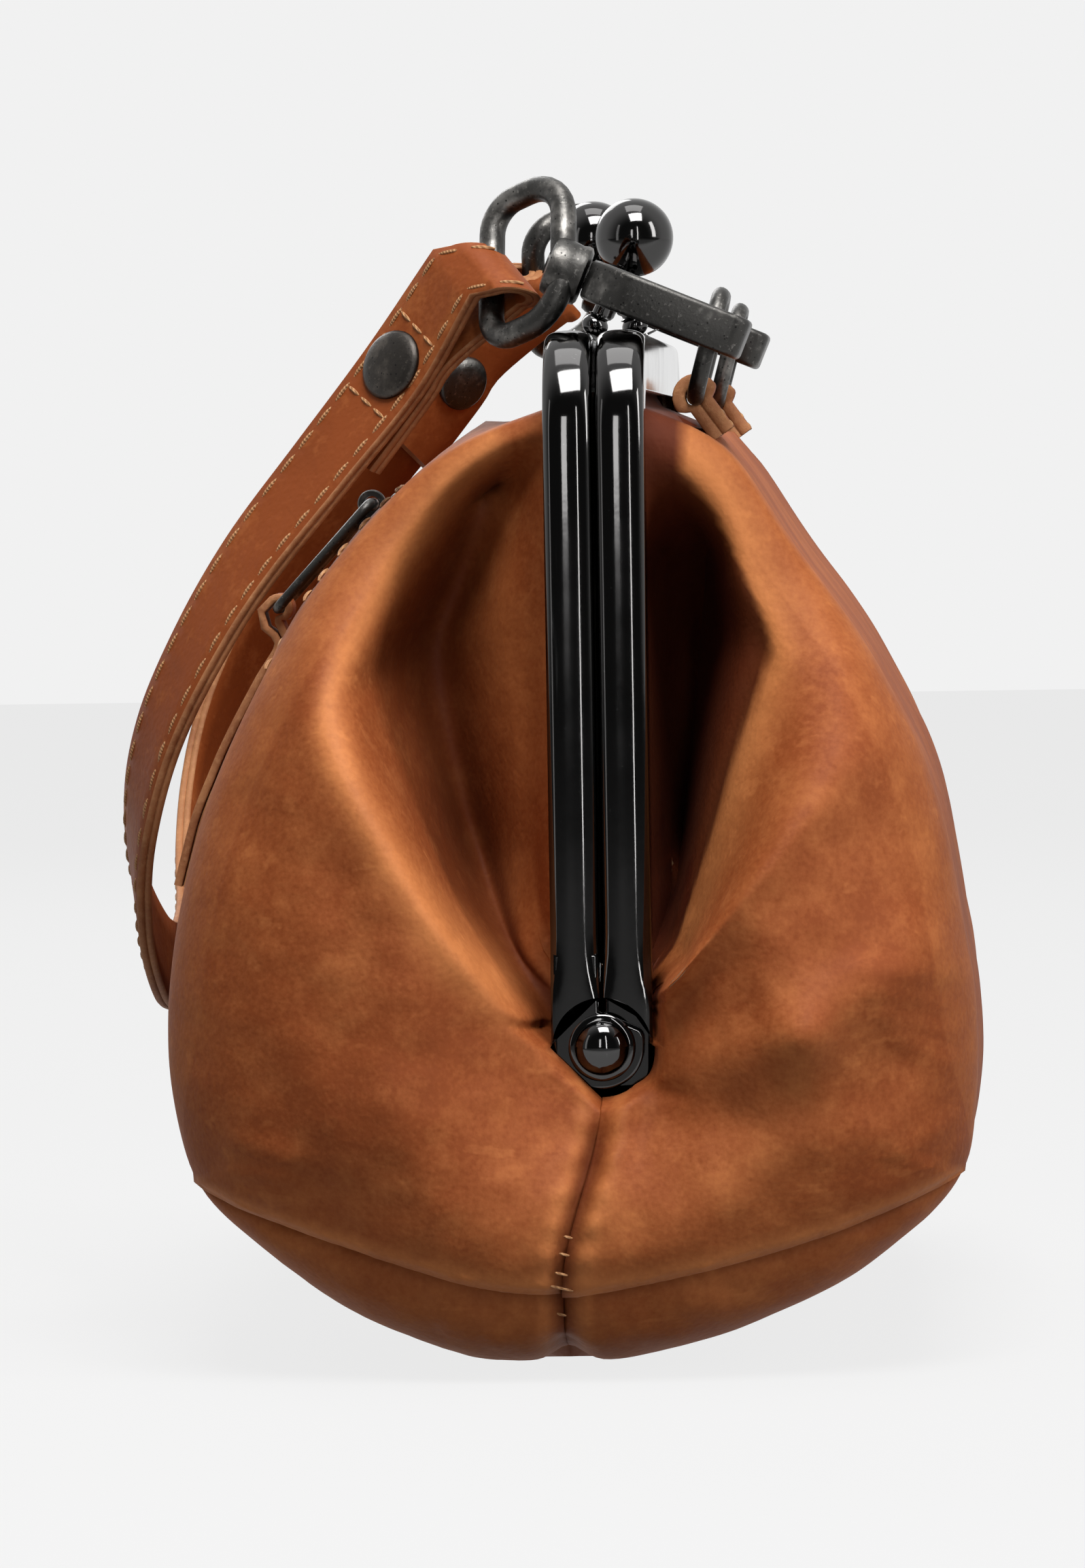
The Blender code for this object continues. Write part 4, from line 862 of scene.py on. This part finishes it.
def barStations():    # foot of the far arm, over the top, to the foot of the near arm
    p = purse
    low, high = p["hingeZ"] + 0.5, p["topZ"] - p["corner"]
    half = [((p["armX"], z), (-1.0, 0.0)) for z in mix(low, high, np.linspace(0, 1, 26) ** 1.5)]
    for t in np.linspace(0, 90, 15)[1:]:
        c, s = math.cos(math.radians(t)), math.sin(math.radians(t))
        half.append(((p["armX"] - p["corner"] + p["corner"] * c, p["topZ"] - p["corner"] + p["corner"] * s),
                     (-c, -s)))
    half += [((x, p["topZ"]), (0.0, -1.0)) for x in np.linspace(p["armX"] - p["corner"], 0, 12)[1:]]
    far = [((-x, z), (-u, v)) for (x, z), (u, v) in reversed(half[:-1])]
    return half + far


lug = {"radius": 5.4, "clear": 6.4, "thick": 1.7, "rise": 12.0, "cut": 2.4, front: 88.9, rear: 86.6}


def lugMesh(side):    # foot of an arm, squared outside and round the rivet inside
    p, r = purse, lug["radius"]
    out, cut = p["barOut"] - 0.35, lug["cut"]
    outline = [(p["barIn"] + 0.25, lug["rise"]), (out, lug["rise"])]
    outline += (arcPoints((out - cut, cut - r), cut, 0, -90, 8)
                + arcPoints((0, 0), r, 270, 180, 14) + [(-r, 0.6)])
    outline += arcPoints((-r + 1.2, 1.2), 1.2, 180, 120, 4) + [(p["barIn"] + 0.25, 4.6)]
    m = placed((lug[side], 0, p["hingeZ"]), (0, side, 0), (0, 0, 1), (side, 0, 0))
    return plateMesh(outline, lug["thick"], m, 0.3, 2)


def makeFrame(side, name, body):
    section = barSection(side)
    rings = []
    for (x, z), (u, v) in barStations():
        flat = mix(0.24, 1.0, float(smooth((z - purse["hingeZ"] - 6.2) / 7.0)))
        ring = []
        for y, depth in section:
            foot = math.sqrt(max(lug["clear"] ** 2 - y * y, 0.3))
            ring.append((x + u * depth * flat, y, max(z + v * depth * flat, purse["hingeZ"] + foot)))
        rings.append(ring)
    bar = gridMesh(rings, closedColumns=True, capEnds=True)
    near = lugMesh(side)
    whole = joinMeshes(bar, farCopy(near), near)
    addPiece(name, whole, blackChrome, body, (name,), 38)


def makeClasp(side, name, body):
    ball, stem, lean = 5.4, 15.0, 25.0
    collar = stem - ball - 0.6
    profile = [(0.0, stem + ball)]
    profile += [(ball * math.sin(t), stem + ball * math.cos(t)) for t in np.radians(np.linspace(6, 157, 27))]
    profile += [(2.15, collar + 0.1), (2.25, collar - 0.3), (2.15, collar - 0.8), (1.2, collar - 1.3),
                (1.1, collar - 1.8)]
    profile += [(1.1, 3.4), (1.55, 3.2)]
    profile += [(1.75 * math.sin(t) + 0.1, 1.8 + 1.5 * math.cos(t))
                for t in np.radians(np.linspace(40, 165, 12))]
    profile += [(1.0, 0.2), (2.4, 0.15), (2.5, -0.1), (0.0, -0.1)]
    foot = Vector((-side * (ball + 0.3), side * 3.35, purse["topZ"]))
    m = Matrix.Translation(foot) @ Matrix.Rotation(math.radians(side * lean), 4, "X")
    addPiece(name, turnedMesh(profile, m, 64), blackChrome, body, (name,), 50)


for side, name, body in ((front, "front", "front_half"), (rear, "rear", "rear_half")):
    makeFrame(side, name + "_frame", body)
    makeClasp(side, name + "_clasp", body)

rivet = {"flange": 4.3, "dome": 3.5, "seat": 90.1, "rise": 3.1}


def makeHingeRivets():
    r = rivet
    profile = [(0.0, r["rise"])]
    profile += [(r["dome"] * math.sin(t), 0.75 + (r["rise"] - 0.75) * math.cos(t))
                for t in np.radians(np.linspace(8, 90, 12))]
    profile += [(r["dome"] + 0.05, 0.55), (r["flange"] - 0.2, 0.5), (r["flange"], 0.3),
                (r["flange"] - 0.1, 0.0)]
    profile += [(1.3, 0.0), (1.3, -5.6), (2.6, -5.6), (2.6, -6.3), (0.0, -6.3)]
    m = placed((r["seat"], 0, purse["hingeZ"]), (0, 1, 0), (0, 0, 1), (1, 0, 0))
    addPair("hinge_rivet", turnedMesh(profile, m, 56), blackChrome, "base", "hinge_rivet", 50)


makeHingeRivets()
print("frame, clasps and hinge rivets made")


# zip, slider, pull and its leather strip

fanReach = {side: (ribAngles(), outlineRadius(side, ribAngles())) for side in (front, rear)}


def zipPoint(x, across, lift):    # a place on the zip line: across it up the bag, lifted off the leather
    x = np.asarray(x, float)
    middle = zipper["angle"] - zipDroop(x)
    angle = middle + np.degrees(across / np.interp(middle, *fanReach[front]))
    y, z = straightPoint(front, angle, x, fanReach[front])
    y2, z2 = straightPoint(front, angle + 0.5, x, fanReach[front])
    run = np.hypot(y2 - y, z2 - z)
    return np.stack([x, -(y + lift * (z2 - z) / run), z - lift * (y2 - y) / run], -1)


def blockMesh(size, matrix, round=0.2):    # small block with softened edges
    bm = bmesh.new()
    bmesh.ops.create_cube(bm, size=1.0, matrix=Matrix.Diagonal((*size, 1)))
    bmesh.ops.bevel(bm, geom=bm.edges[:], offset=round, offset_type="OFFSET", affect="EDGES", segments=1,
                    profile=0.5, material=-1, clamp_overlap=True)
    bmesh.ops.transform(bm, matrix=matrix, verts=bm.verts)
    return bm


def zipFrame(x, across, lift):
    middle = zipPoint(x, across, lift)
    up = unit(zipPoint(x, across + 1, lift) - middle)
    off = unit(zipPoint(x, across, lift + 1) - middle)
    return placed(middle, np.cross(up, off), up, off)


def makeZip():
    reach = zipper["endX"] - 1.0
    for name, way in (("upper", 1), ("lower", -1)):
        x = np.linspace(-reach, reach, 90)
        rings = [zipPoint(x, way * a, lift)
                 for a, lift in ((0.5, -1.4), (3.4, -1.4), (6.3, -1.5), (6.3, -2.0), (0.5, -1.9))]
        tape = gridMesh(np.stack(rings, 1), closedColumns=True, capEnds=True)
        addPiece("zip_tape." + name, tape, tapeCloth, "front_half", ("zip_tape_" + name,))
        shift = 0.0 if way > 0 else zipper["pitch"] / 2
        teeth = []
        for spot in np.arange(-reach + 2.5 + shift, reach - 2.5, zipper["pitch"]):
            teeth.append(blockMesh((1.15, 2.5, 1.5), zipFrame(spot, way * 0.75, -0.75), 0.28))
        for spot in (-reach + 1.1, reach - 1.1):
            teeth.append(blockMesh((1.6, 3.0, 1.8), zipFrame(spot, way * 1.4, -0.75), 0.3))
        addPiece("zip_teeth." + name, joinMeshes(*teeth), toothMetal, "front_half",
                 ("zip_teeth_" + name,))
    spots = []
    for way in (1, -1):
        for x in np.arange(-reach, reach, 3.6):
            a, b = zipPoint(x, way * 5.6, 0.55), zipPoint(x + 2.6, way * 5.6, 0.55)
            spots.append(((a + b) / 2, unit(b - a), unit(zipPoint(x, way * 5.6, 1.5) - a), 2.6))
    addPiece("zip_stitches", stitchMesh(spots), thread, "front_half")


def makePocket():    # cotton bag sewn behind the zip, its two layers bellied apart
    x = np.linspace(-68, 68, 50)
    rows = []
    for angle, layer in [(75, 0)] + [(a, 1) for a in np.linspace(74, 39, 16)] + [(38, 0)] + [(a, -1) for a in np.linspace(39, 74, 16)]:
        y, z = straightPoint(front, angle - zipDroop(x), x, fanReach[front])
        belly = layer * 0.5 * smooth((angle - 38) / 6) * smooth((75 - angle) / 6) + 0.2 * ripple(x, z, 24.0, 0.4)
        rows.append(np.stack([x, -(y - 4.8 - belly), z], 1))
    addPiece("pocket_bag", gridMesh(np.stack(rows, 1), closedColumns=True, capEnds=True), liningCloth,
             "front_half",
             ("pocket_bag",), 70)


pull = {"pivot": (10.0, -33.40, 111.65), "down": (0.0, -0.6737, -0.7390), "off": (0.0, -0.7390, 0.6737),
        "half": 5.3, "long": 19.1, "corner": 1.6, "wire": 0.75, "stripWide": 7.0, "stripDrop": 38.0, "layer": 1.1}


def ringPath(half, long, corner, steps=6, low=None):    # rounded rectangle, across and along
    path = []
    low = low or corner
    for x, y, start, r in ((half - corner, long - corner, 0, corner),
                           (corner - half, long - corner, 90, corner),
                           (low - half, low, 180, low), (half - low, low, 270, low)):
        path += arcPoints((x, y), r, start, start + 90, steps)
    return path


def bandMesh(rows, width, thick, groove=0.0, round=0.2):    # leather band; rows of middle, across and face
    half, t = width / 2, thick / 2
    edge = [(half, t - round)] + ([(half, groove), (half - groove * 1.5, 0), (half, -groove)]
                                  if groove else [])
    edge += [(half, round - t)]
    right = [(half - round, t)] + edge + [(half - round, -t)]
    section = (right + [(half / 2, -t), (0, -t), (-half / 2, -t)]
               + [(-u, -v) for u, v in right] + [(-half / 2, t), (0, t), (half / 2, t)])
    stripes = ([1] * (len(right) - 1) + [0] * 4) * 2
    points = [[middle + across * u + face * v for u, v in section] for middle, across, face in rows]
    return gridMesh(points, closedColumns=True, capEnds=True, stripes=stripes)


# up the back of a line, round its first point and down
def foldedRows(line, across, face, radius, layer, gap=0.1):
    line = np.array(line, float)
    tangent = np.gradient(line, axis=0)
    offs = [unit(np.cross(t, across)) for t in tangent]
    offs = [o if o.dot(face) > 0 else -o for o in offs]
    spread = [max(radius * math.cos(min(i / 4.0, 1) * math.pi / 2), layer / 2 + gap)
              for i in range(len(line))]
    back = [(p - o * w, across, -o) for p, o, w in zip(line, offs, spread)][::-1]
    fore = [(p + o * w, across, o) for p, o, w in zip(line, offs, spread)]
    up = -unit(tangent[0])
    turn = []
    for t in np.radians(np.linspace(-90, 90, 13)[1:-1]):
        out = up * math.cos(t) + offs[0] * math.sin(t)
        turn.append((line[0] + out * radius, across, out))
    return back + turn + fore


def makeSlider():
    pivot, down, off = (np.array(pull[k]) for k in ("pivot", "down", "off"))
    outline = [(-4.5, -1.9), (-4.1, -2.4), (-1.5, -3.4), (3.6, -3.5), (4.4, -3.0), (4.5, -2.2)]
    outline += [(u, -v) for u, v in reversed(outline)]
    seat = pivot - off * 3.3
    body = plateMesh(outline, 1.4, placed(seat + off * 1.1, (1, 0, 0), -down, np.cross((1, 0, 0), -down)),
                     0.4, 3)
    arch = [(1.05, -1.5), (1.75, -1.5), (1.9, -1.3), (1.9, 1.3), (1.75, 1.5), (1.05, 1.5), (1.05, -1.5)]
    bridge = turnedMesh(arch, placed(pivot, down, off, (1, 0, 0)), 32)
    foot = blockMesh((3.0, 3.2, 0.8), placed(pivot - off * 1.75, (1, 0, 0), -down, off), 0.25)
    addPiece("zip_slider", joinMeshes(body, bridge, foot), oldMetal, "slider", ("zip_slider",))
    path = [pivot + np.array((u, 0, 0)) + down * v
            for u, v in ringPath(pull["half"], pull["long"], pull["corner"])]
    addPiece("zip_pull", tubeMesh(path, pull["wire"], 12, True), oldMetal, "pull",
             ("zip_pull",))
    end = pivot + down * pull["long"]
    depth = np.array(outlines[front])
    line = [end, end + down * 2.0]
    for z in np.linspace(end[2] - 5.0, end[2] - pull["stripDrop"], 8):
        hang = smooth((end[2] - z) / pull["stripDrop"])
        out = float(np.interp(z, depth[8:, 1], depth[8:, 0])) + 3.4 + 1.5 * float(hang)
        line.append(np.array((end[0], -out, z)))
    rows = foldedRows(spline(line, 30), np.array((1.0, 0, 0)), off, pull["wire"] + 0.15 + pull["layer"] / 2,
                      pull["layer"])
    addPiece("pull_strip", bandMesh(rows, pull["stripWide"], pull["layer"]), [strapTan, rawEdge], "strip",
             ("pull_strip",), 60)


makeZip()
makePocket()
makeSlider()
print("zip, pocket, slider and pull made")


# rings, hooks and the carrying strap

hook = {"nose": (71.0, 19.3, 132.3), "run": (0.0, -0.9239, 0.3827), "thick": 5.4, "half": 9.0,
        "pivot": (18.0, -6.4)}
loop = {"middle": (66.82, -8.99, 143.38), "along": (0.5, 0.0, -0.866), "out": (-0.553, -0.770, -0.318),
        "wire": 1.7, "half": 10.3, "deep": 6.3, "corner": 4.0, "round": 6.1, "bar": (63.34, -13.84, 141.37)}
ring = {"foot": (62.0, 12.6, 125.2), "up": (0.0, 0.2588, 0.9659), "half": 8.0, "long": 13.6, "corner": 4.0,
        "wire": 1.15,
        "tabWide": 7.4, "tabThick": 1.7, "tabLong": 6.0, "tabRun": (0.0, 0.583, -0.812)}
strap = {"wide": 12.0, "thick": 2.0, "fold": 3.0, "under": 2.3, "tail": 12.5, "stitch": 4.0, "stitchIn": 1.5,
         "route": [(64.1, -18.4, 141.8), (60.4, -26.6, 129.6), (59.5, -36.7, 117), (58.9, -46.3, 105),
                   (58, -53.3, 94),
                   (55.6, -59.2, 82), (50.1, -62.5, 70), (38.7, -63.4, 59), (20.5, -62.6, 50.5), (0, -61.9, 47.5)],
         "faces": [(0.667, -0.638, 0.385), (0.73, -0.66, 0.18), (0.68, -0.70, 0.2), (0.62, -0.74, 0.2),
                   (0.56, -0.79, 0.2),
                   (0.48, -0.86, 0.15), (0.38, -0.92, 0.1), (0.24, -0.97, 0), (0.1, -0.99, 0), (0, -1, 0)]}


def makeRings():
    foot, up = np.array(ring["foot"]), np.array(ring["up"])
    path = [foot + np.array((u, 0, 0)) + up * v for u,
            v in ringPath(ring["half"], ring["long"], ring["corner"], 8)]
    addPair("tab_ring", tubeMesh(path, ring["wire"], 16, True), oldMetal, "strap_unit",
            "tab_ring")
    run = np.array(ring["tabRun"])
    line = spline([foot, foot + run * 2.0, foot + run * ring["tabLong"]], 16)
    across, face = np.array((1.0, 0, 0)), unit(np.cross((1, 0, 0), run))
    face = face if face[2] > 0 else -face
    rows = foldedRows(line, across, face, ring["wire"] + 0.2 + ring["tabThick"] / 2, ring["tabThick"], 0.0)
    addPair("ring_tab", bandMesh(rows, ring["tabWide"], ring["tabThick"]), [tan, rawEdge], "rear_half",
            "ring_tab", 60)
    spots = []
    for row in (-1, 1):
        for t in (3.6, 5.4):
            spots.append((foot + run * t + across * row * 2.5 + face * 1.5, run, face, 1.3))
    addPair("tab_stitches", stitchMesh(spots), thread, "rear_half")


def hookPlace(run, across=0.0, off=0.0):
    m = hookMatrix()
    return m @ Vector((run, across, off))


def hookMatrix():
    run = np.array(hook["run"])
    return placed(hook["nose"], run, (1, 0, 0), np.cross(run, (1, 0, 0)))


def makeHooks():
    m, t = hookMatrix(), hook["thick"]
    outline = [(8, -9), (2.6, -9)] + arcPoints((2.4, -6.6), 2.4, 268, 182, 6) + arcPoints((2.4, 6.6), 2.4, 178, 92, 6)
    outline += [(16, 9), (18, 8.2),
                (21.2, 5.4)] + arcPoints((20.4, 3.2), 1.7, 40, 0, 3) + [(22.1, -4.2), (17.3, -3.6)]
    outline += arcPoints((14.5, 2.3), 2.5, 0, 90,
                         6) + arcPoints((5.5, 2.3), 2.5, 90, 180, 6) + [(3, -4.8), (8, -4.8)]
    ear = [(22.1, -3.4), (21.6, -5.6), (20.6, -8.2), (19.2, -9), (16.4, -9), (15.4, -8), (15.4, -4.4),
           (16.2, -3.4)]
    parts = [plateMesh(outline, t, m, 0.7, 3)]
    for way in (-1, 1):
        parts.append(plateMesh(ear, 1.1, m @ Matrix.Translation((0, 0, way * (t / 2 - 0.55))), 0.3, 2))
    addPair("hook_body", joinMeshes(*parts), oldMetal, "strap_unit", "hook_body", 40)
    turn = m @ Matrix.Translation((*hook["pivot"], 0))
    bar = [(-9.7, -1.6), (-9.1, -2.2), (-4.2, -2.2), (-4.0, -1.8), (-4.0, 0.9), (-4.3, 1.2), (-9.2, 1.2),
           (-9.7, 0.7)]
    heel = arcPoints((0, 0), 1.8, 90, -90, 12) + [(-5.0, -1.7), (-5.0, 0.9)]
    gate = joinMeshes(plateMesh(bar, 4.6, turn, 0.45, 2),
                      plateMesh(heel, 1.1, turn @ Matrix.Translation((0, 0, -0.65)), 0.2, 2))
    addPair("hook_gate", gate, oldMetal, {"near": "gate_near", "far": "gate_far"}, "hook_gate")


def makeLoops():
    along, out = unit(np.array(loop["along"])), np.array(loop["out"])
    out = unit(out - along * out.dot(along))
    middle = np.array(loop["middle"])
    path = []
    for u, v in ringPath(loop["half"], 2 * loop["deep"], loop["corner"], 8, loop["round"]):
        path.append(middle + along * u + out * (v - loop["deep"]))
    wire = tubeMesh(path, loop["wire"], 18, True)
    run = np.array(hook["run"])
    start = np.array(hookPlace(22.4))
    profile = [(1.6, 0.0), (3.4, 0.0), (3.9, 0.3), (4.0, 0.8), (3.8, 1.5), (3.9, 2.4), (4.0, 4.2),
               (3.7, 4.9), (3.1, 5.1), (1.6, 5.1), (1.6, 0.0)]
    collar = turnedMesh(profile, placed(start, (1, 0, 0), np.cross(run, (1, 0, 0)), run), 40)
    addPair("swivel_loop", joinMeshes(wire, collar), oldMetal, "strap_unit", "swivel_loop", 40)


def strapRows():    # near half of the strap: tail end, fold round the loop, then out to the middle
    both = spline([(*a, *(10 * np.array(f))) for a, f in zip(strap["route"], strap["faces"])], 96)
    places, faces = both[:, :3], both[:, 3:]
    tangent = np.gradient(places, axis=0)
    outer = []
    for p, t, f in zip(places, tangent, faces):
        t = unit(t)
        f = unit(f - t * f.dot(t))
        outer.append((p, np.cross(f, t), f))
    cut = int(np.argmin(np.linalg.norm(places - np.array(strap["route"][1]), axis=1)))
    lead, across, face = outer[cut]
    run = unit(tangent[cut])
    bar = np.array(loop["bar"])
    top = outer[0]
    out = unit(top[0] - bar - top[2] * (top[0] - bar).dot(top[2]))
    fold = []
    for t in np.radians(np.linspace(-90, 90, 17)):
        ray = -out * math.cos(t) + top[2] * math.sin(t)
        fold.append((bar + ray * strap["fold"], top[1], ray))
    knots = [lead + run * d - face * strap["under"] for d in (strap["tail"], 6.0, 0.0, -5.0)]
    knots.append(bar - top[2] * strap["fold"] + out * 2.0)
    knots.append(bar - top[2] * strap["fold"])
    tail = []
    for p in spline(knots, 22)[:-1]:
        t = np.linalg.norm(p - lead) / np.linalg.norm(bar - lead)
        normal = -unit(mix(face, top[2], min(t, 1.0)))
        tail.append((p, unit(mix(across, top[1], min(t, 1.0))), normal))
    bend = [(bar + top[2] * strap["fold"], top[1], top[2])]
    return tail, fold[:-1] + bend, outer, cut


def mirrored(rows):
    flip = np.array((-1.0, 1, 1))
    return [(p * flip, a * flip, f * flip) for p, a, f in rows]


def makeStrap():
    tail, fold, outer, cut = strapRows()
    lead, across, face = outer[cut]
    run = np.cross(across, face)
    half = tail + fold + outer
    rows = half + mirrored(half[:-1])[::-1]
    piece = bandMesh(rows, strap["wide"], strap["thick"], 0.16, 0.25)
    addPiece("carry_strap", piece, [strapTan, rawEdge], "strap_unit", ("carry_strap",), 60)
    spots = []
    places = np.array([p for p, _, _ in fold[9:] + outer])
    length = np.concatenate([[0], np.cumsum(np.linalg.norm(np.diff(places, axis=0), axis=1))])
    frames = [np.array(v) for v in zip(*[(a, f) for _, a, f in fold[9:] + outer])]
    for at in np.arange(1.0, length[-1] - 1, strap["stitch"]):
        mid, a, f = ([np.interp(at, length, v[:, k]) for k in range(3)] for v in (places, *frames))
        ahead = np.array([np.interp(at + 0.5, length, places[:, k]) for k in range(3)])
        mid, a, f = np.array(mid), unit(np.array(a)), unit(np.array(f))
        for row in (-1, 1):
            spot = mid + a * row * (strap["wide"] / 2 - strap["stitchIn"]) + f * (strap["thick"] / 2)
            spots.append((spot, unit(ahead - mid), f, strap["stitch"] * 0.78))
    for step in (-6.6, 6.8):    # stitched across above and below the rivet
        near = int(np.argmin(np.abs(length - length[9 - 1 + cut] - step)))
        mid, a, f = places[near], frames[0][near], frames[1][near]
        for shift in (-3.0, 0.0, 3.0):
            spots.append((mid + a * shift + f * (strap["thick"] / 2), a, f, 2.4))
    addPair("strap_stitches", stitchMesh(spots, 0.25), thread, "strap_unit")
    seat = placed(lead, across, np.cross(face, across), face)
    dome = [(0.0, 2.65), (1.6, 2.6), (3.1, 2.42), (4.1, 2.1), (4.6, 1.7), (4.7, 1.35), (4.5, 1.05),
            (0.0, 1.05)]
    addPair("strap_cap", turnedMesh(dome, seat, 48), darkCap, "strap_unit", "strap_cap", 60)
    back = [(0.0, -5.1), (2.4, -5.0), (3.6, -4.7), (4.0, -4.3), (3.9, -3.6), (0.0, -3.5)]
    addPair("strap_back", turnedMesh(back, seat, 40), oldMetal, "strap_unit", "strap_back", 60)


makeRings()
makeHooks()
makeLoops()
makeStrap()
print("rings, hooks and strap made")


# small CAD pieces kept as they are

kept = {paperCord: ("front_cord", "rear_cord"),
        oldMetal: ("gate_pin_near", "gate_pin_far", "gate_spring_near", "gate_spring_far",
                   "swivel_post_near", "swivel_post_far")}
for finish, names in kept.items():
    for name in names:
        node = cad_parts[name]
        for i in range(max(len(node.material_slots), 1)):
            if node.material_slots:
                node.material_slots[i].material = finish
            else:
                node.data.materials.append(finish)


# camera and light

shot = {"scale": 11.5, "planeX": 90.0, "distance": 1100.0, "azimuth": 92.5, "elevation": 2.2, "roll": 0.9,
        "aimY": -7.1, "aimZ": 75.9, "photoHigh": 2307, "sensor": 36.0}


def makeCamera():
    data = bpy.data.cameras.new("shot")
    camera = bpy.data.objects.new("shot", data)
    bpy.context.scene.collection.objects.link(camera)
    data.sensor_fit = "VERTICAL"
    data.sensor_height = shot["sensor"]
    data.sensor_width = shot["sensor"]
    data.lens = shot["sensor"] * shot["distance"] * shot["scale"] / shot["photoHigh"]
    data.clip_start, data.clip_end = 0.01, 20
    az, el = math.radians(shot["azimuth"]), math.radians(shot["elevation"])
    back = Vector((math.sin(az) * math.cos(el), -math.cos(az) * math.cos(el), math.sin(el)))
    aim = Vector((shot["planeX"], shot["aimY"], shot["aimZ"])) * mm
    turn = back.to_track_quat("Z", "Y").to_matrix().to_4x4() @ Matrix.Rotation(math.radians(-shot["roll"]), 4, "Z")
    camera.matrix_world = Matrix.Translation(aim + back * shot["distance"] * mm) @ turn
    bpy.context.scene.camera = camera


def makeLamp(name, place, aim, size, power, colour=(1, 1, 1)):
    data = bpy.data.lights.new(name, "AREA")
    data.shape = "RECTANGLE"
    data.size, data.size_y = size
    data.energy = power
    data.color = colour
    lamp = bpy.data.objects.new(name, data)
    bpy.context.scene.collection.objects.link(lamp)
    lamp.location = place
    lamp.rotation_euler = (Vector(aim) - Vector(place)).to_track_quat("-Z", "Y").to_euler()


studio = {"paper": 0.88, "room": 0.05, "ambient": 0.03, "floor": 0.865, "floorShare": 0.93, "bounce": 0.13,
          "lamps": [("key", (0.60, 0.12, 1.28), (0.70, 0.60), 0.08, 23.0),
                    ("front_panel", (1.55, -0.13, 0.43), (0.13, 0.66), 0.43, 1.7),
                    ("strip_left", (0.75, -0.85, 0.45), (0.14, 0.9), 0.45, 0.5),
                    ("streak", (0.95, 0.21, 0.37), (0.035, 0.70), 0.37, 1.0),
                    ("strip_right", (0.50, 0.95, 0.55), (0.22, 0.8), 0.30, 5.6),
                    ("overhead", (-0.1, 0.0, 1.2), (0.6, 0.5), 0.08, 3.0),
                    ("back_fill", (-1.0, -0.4, 0.7), (0.6, 0.6), 0.08, 4.0)]}


def makeStudio():
    scene = bpy.context.scene
    scene.view_settings.view_transform = "Standard"
    world = bpy.data.worlds.new("studio")
    scene.world = world
    world.use_nodes = True
    tree = world.node_tree
    ground = tree.nodes["Background"]
    ray = tree.nodes.new("ShaderNodeLightPath")
    seen = Sock(tree, ray.outputs["Is Camera Ray"])
    shiny = seen.maths("MAXIMUM", Sock(tree, ray.outputs["Is Glossy Ray"]),
                       Sock(tree, ray.outputs["Is Transmission Ray"]))
    way = Sock(tree, tree.nodes.new("ShaderNodeTexCoord").outputs["Generated"])
    ahead = way.make("ShaderNodeSeparateXYZ", None, 0, Vector=way)
    room = ahead.between(0.75, -0.15) * (studio["paper"] - studio["room"]) + studio["room"]
    ground.inputs["Color"].default_value = (1, 1, 1, 1)
    level = seen * studio["paper"] + (1.0 - seen) * (shiny * room + (1.0 - shiny) * studio["ambient"])
    tree.links.new(level.out, ground.inputs["Strength"])
    for name, place, size, aimZ, power in studio["lamps"]:
        makeLamp(name, place, (0.05, 0.0, aimZ), size, power)
    bm = bmesh.new()
    bmesh.ops.create_grid(bm, x_segments=2, y_segments=2, size=3000)
    bmesh.ops.translate(bm, vec=(0, 0, -0.4), verts=bm.verts)
    ground, shader, coords = newFinish("pale_floor", Roughness=0.9)
    paper = noise(coords, 300.0, 3.0, 0.6)
    tree = ground.node_tree
    ray = tree.nodes.new("ShaderNodeLightPath")
    seen = Sock(tree, ray.outputs["Is Camera Ray"])
    shiny = seen.maths("MAXIMUM", Sock(tree, ray.outputs["Is Glossy Ray"]),
                       Sock(tree, ray.outputs["Is Transmission Ray"]))
    ahead = coords.make("ShaderNodeSeparateXYZ", None, 0, Vector=coords)
    seen = seen.maths("MAXIMUM", seen, shiny * ahead.between(0.45, 0.15))
    shown = paper.tint((0.86, 0.86, 0.86), (0.89, 0.89, 0.89))
    feed(shader, Base_Color=seen.tint((studio["bounce"],) * 3, shown))
    glow = coords.add("ShaderNodeEmission", None, Color=(studio["floor"],) * 3, Strength=1.0)
    blendNode = coords.add("ShaderNodeMixShader")
    tree.links.new((seen * studio["floorShare"]).out, blendNode.inputs[0])
    tree.links.new(shader.outputs[0], blendNode.inputs[1])
    tree.links.new(glow.outputs[0], blendNode.inputs[2])
    tree.links.new(blendNode.outputs[0], tree.nodes["Material Output"].inputs["Surface"])
    floor = addPiece("floor", bm, ground)


makeCamera()
makeStudio()
print("camera and studio set")
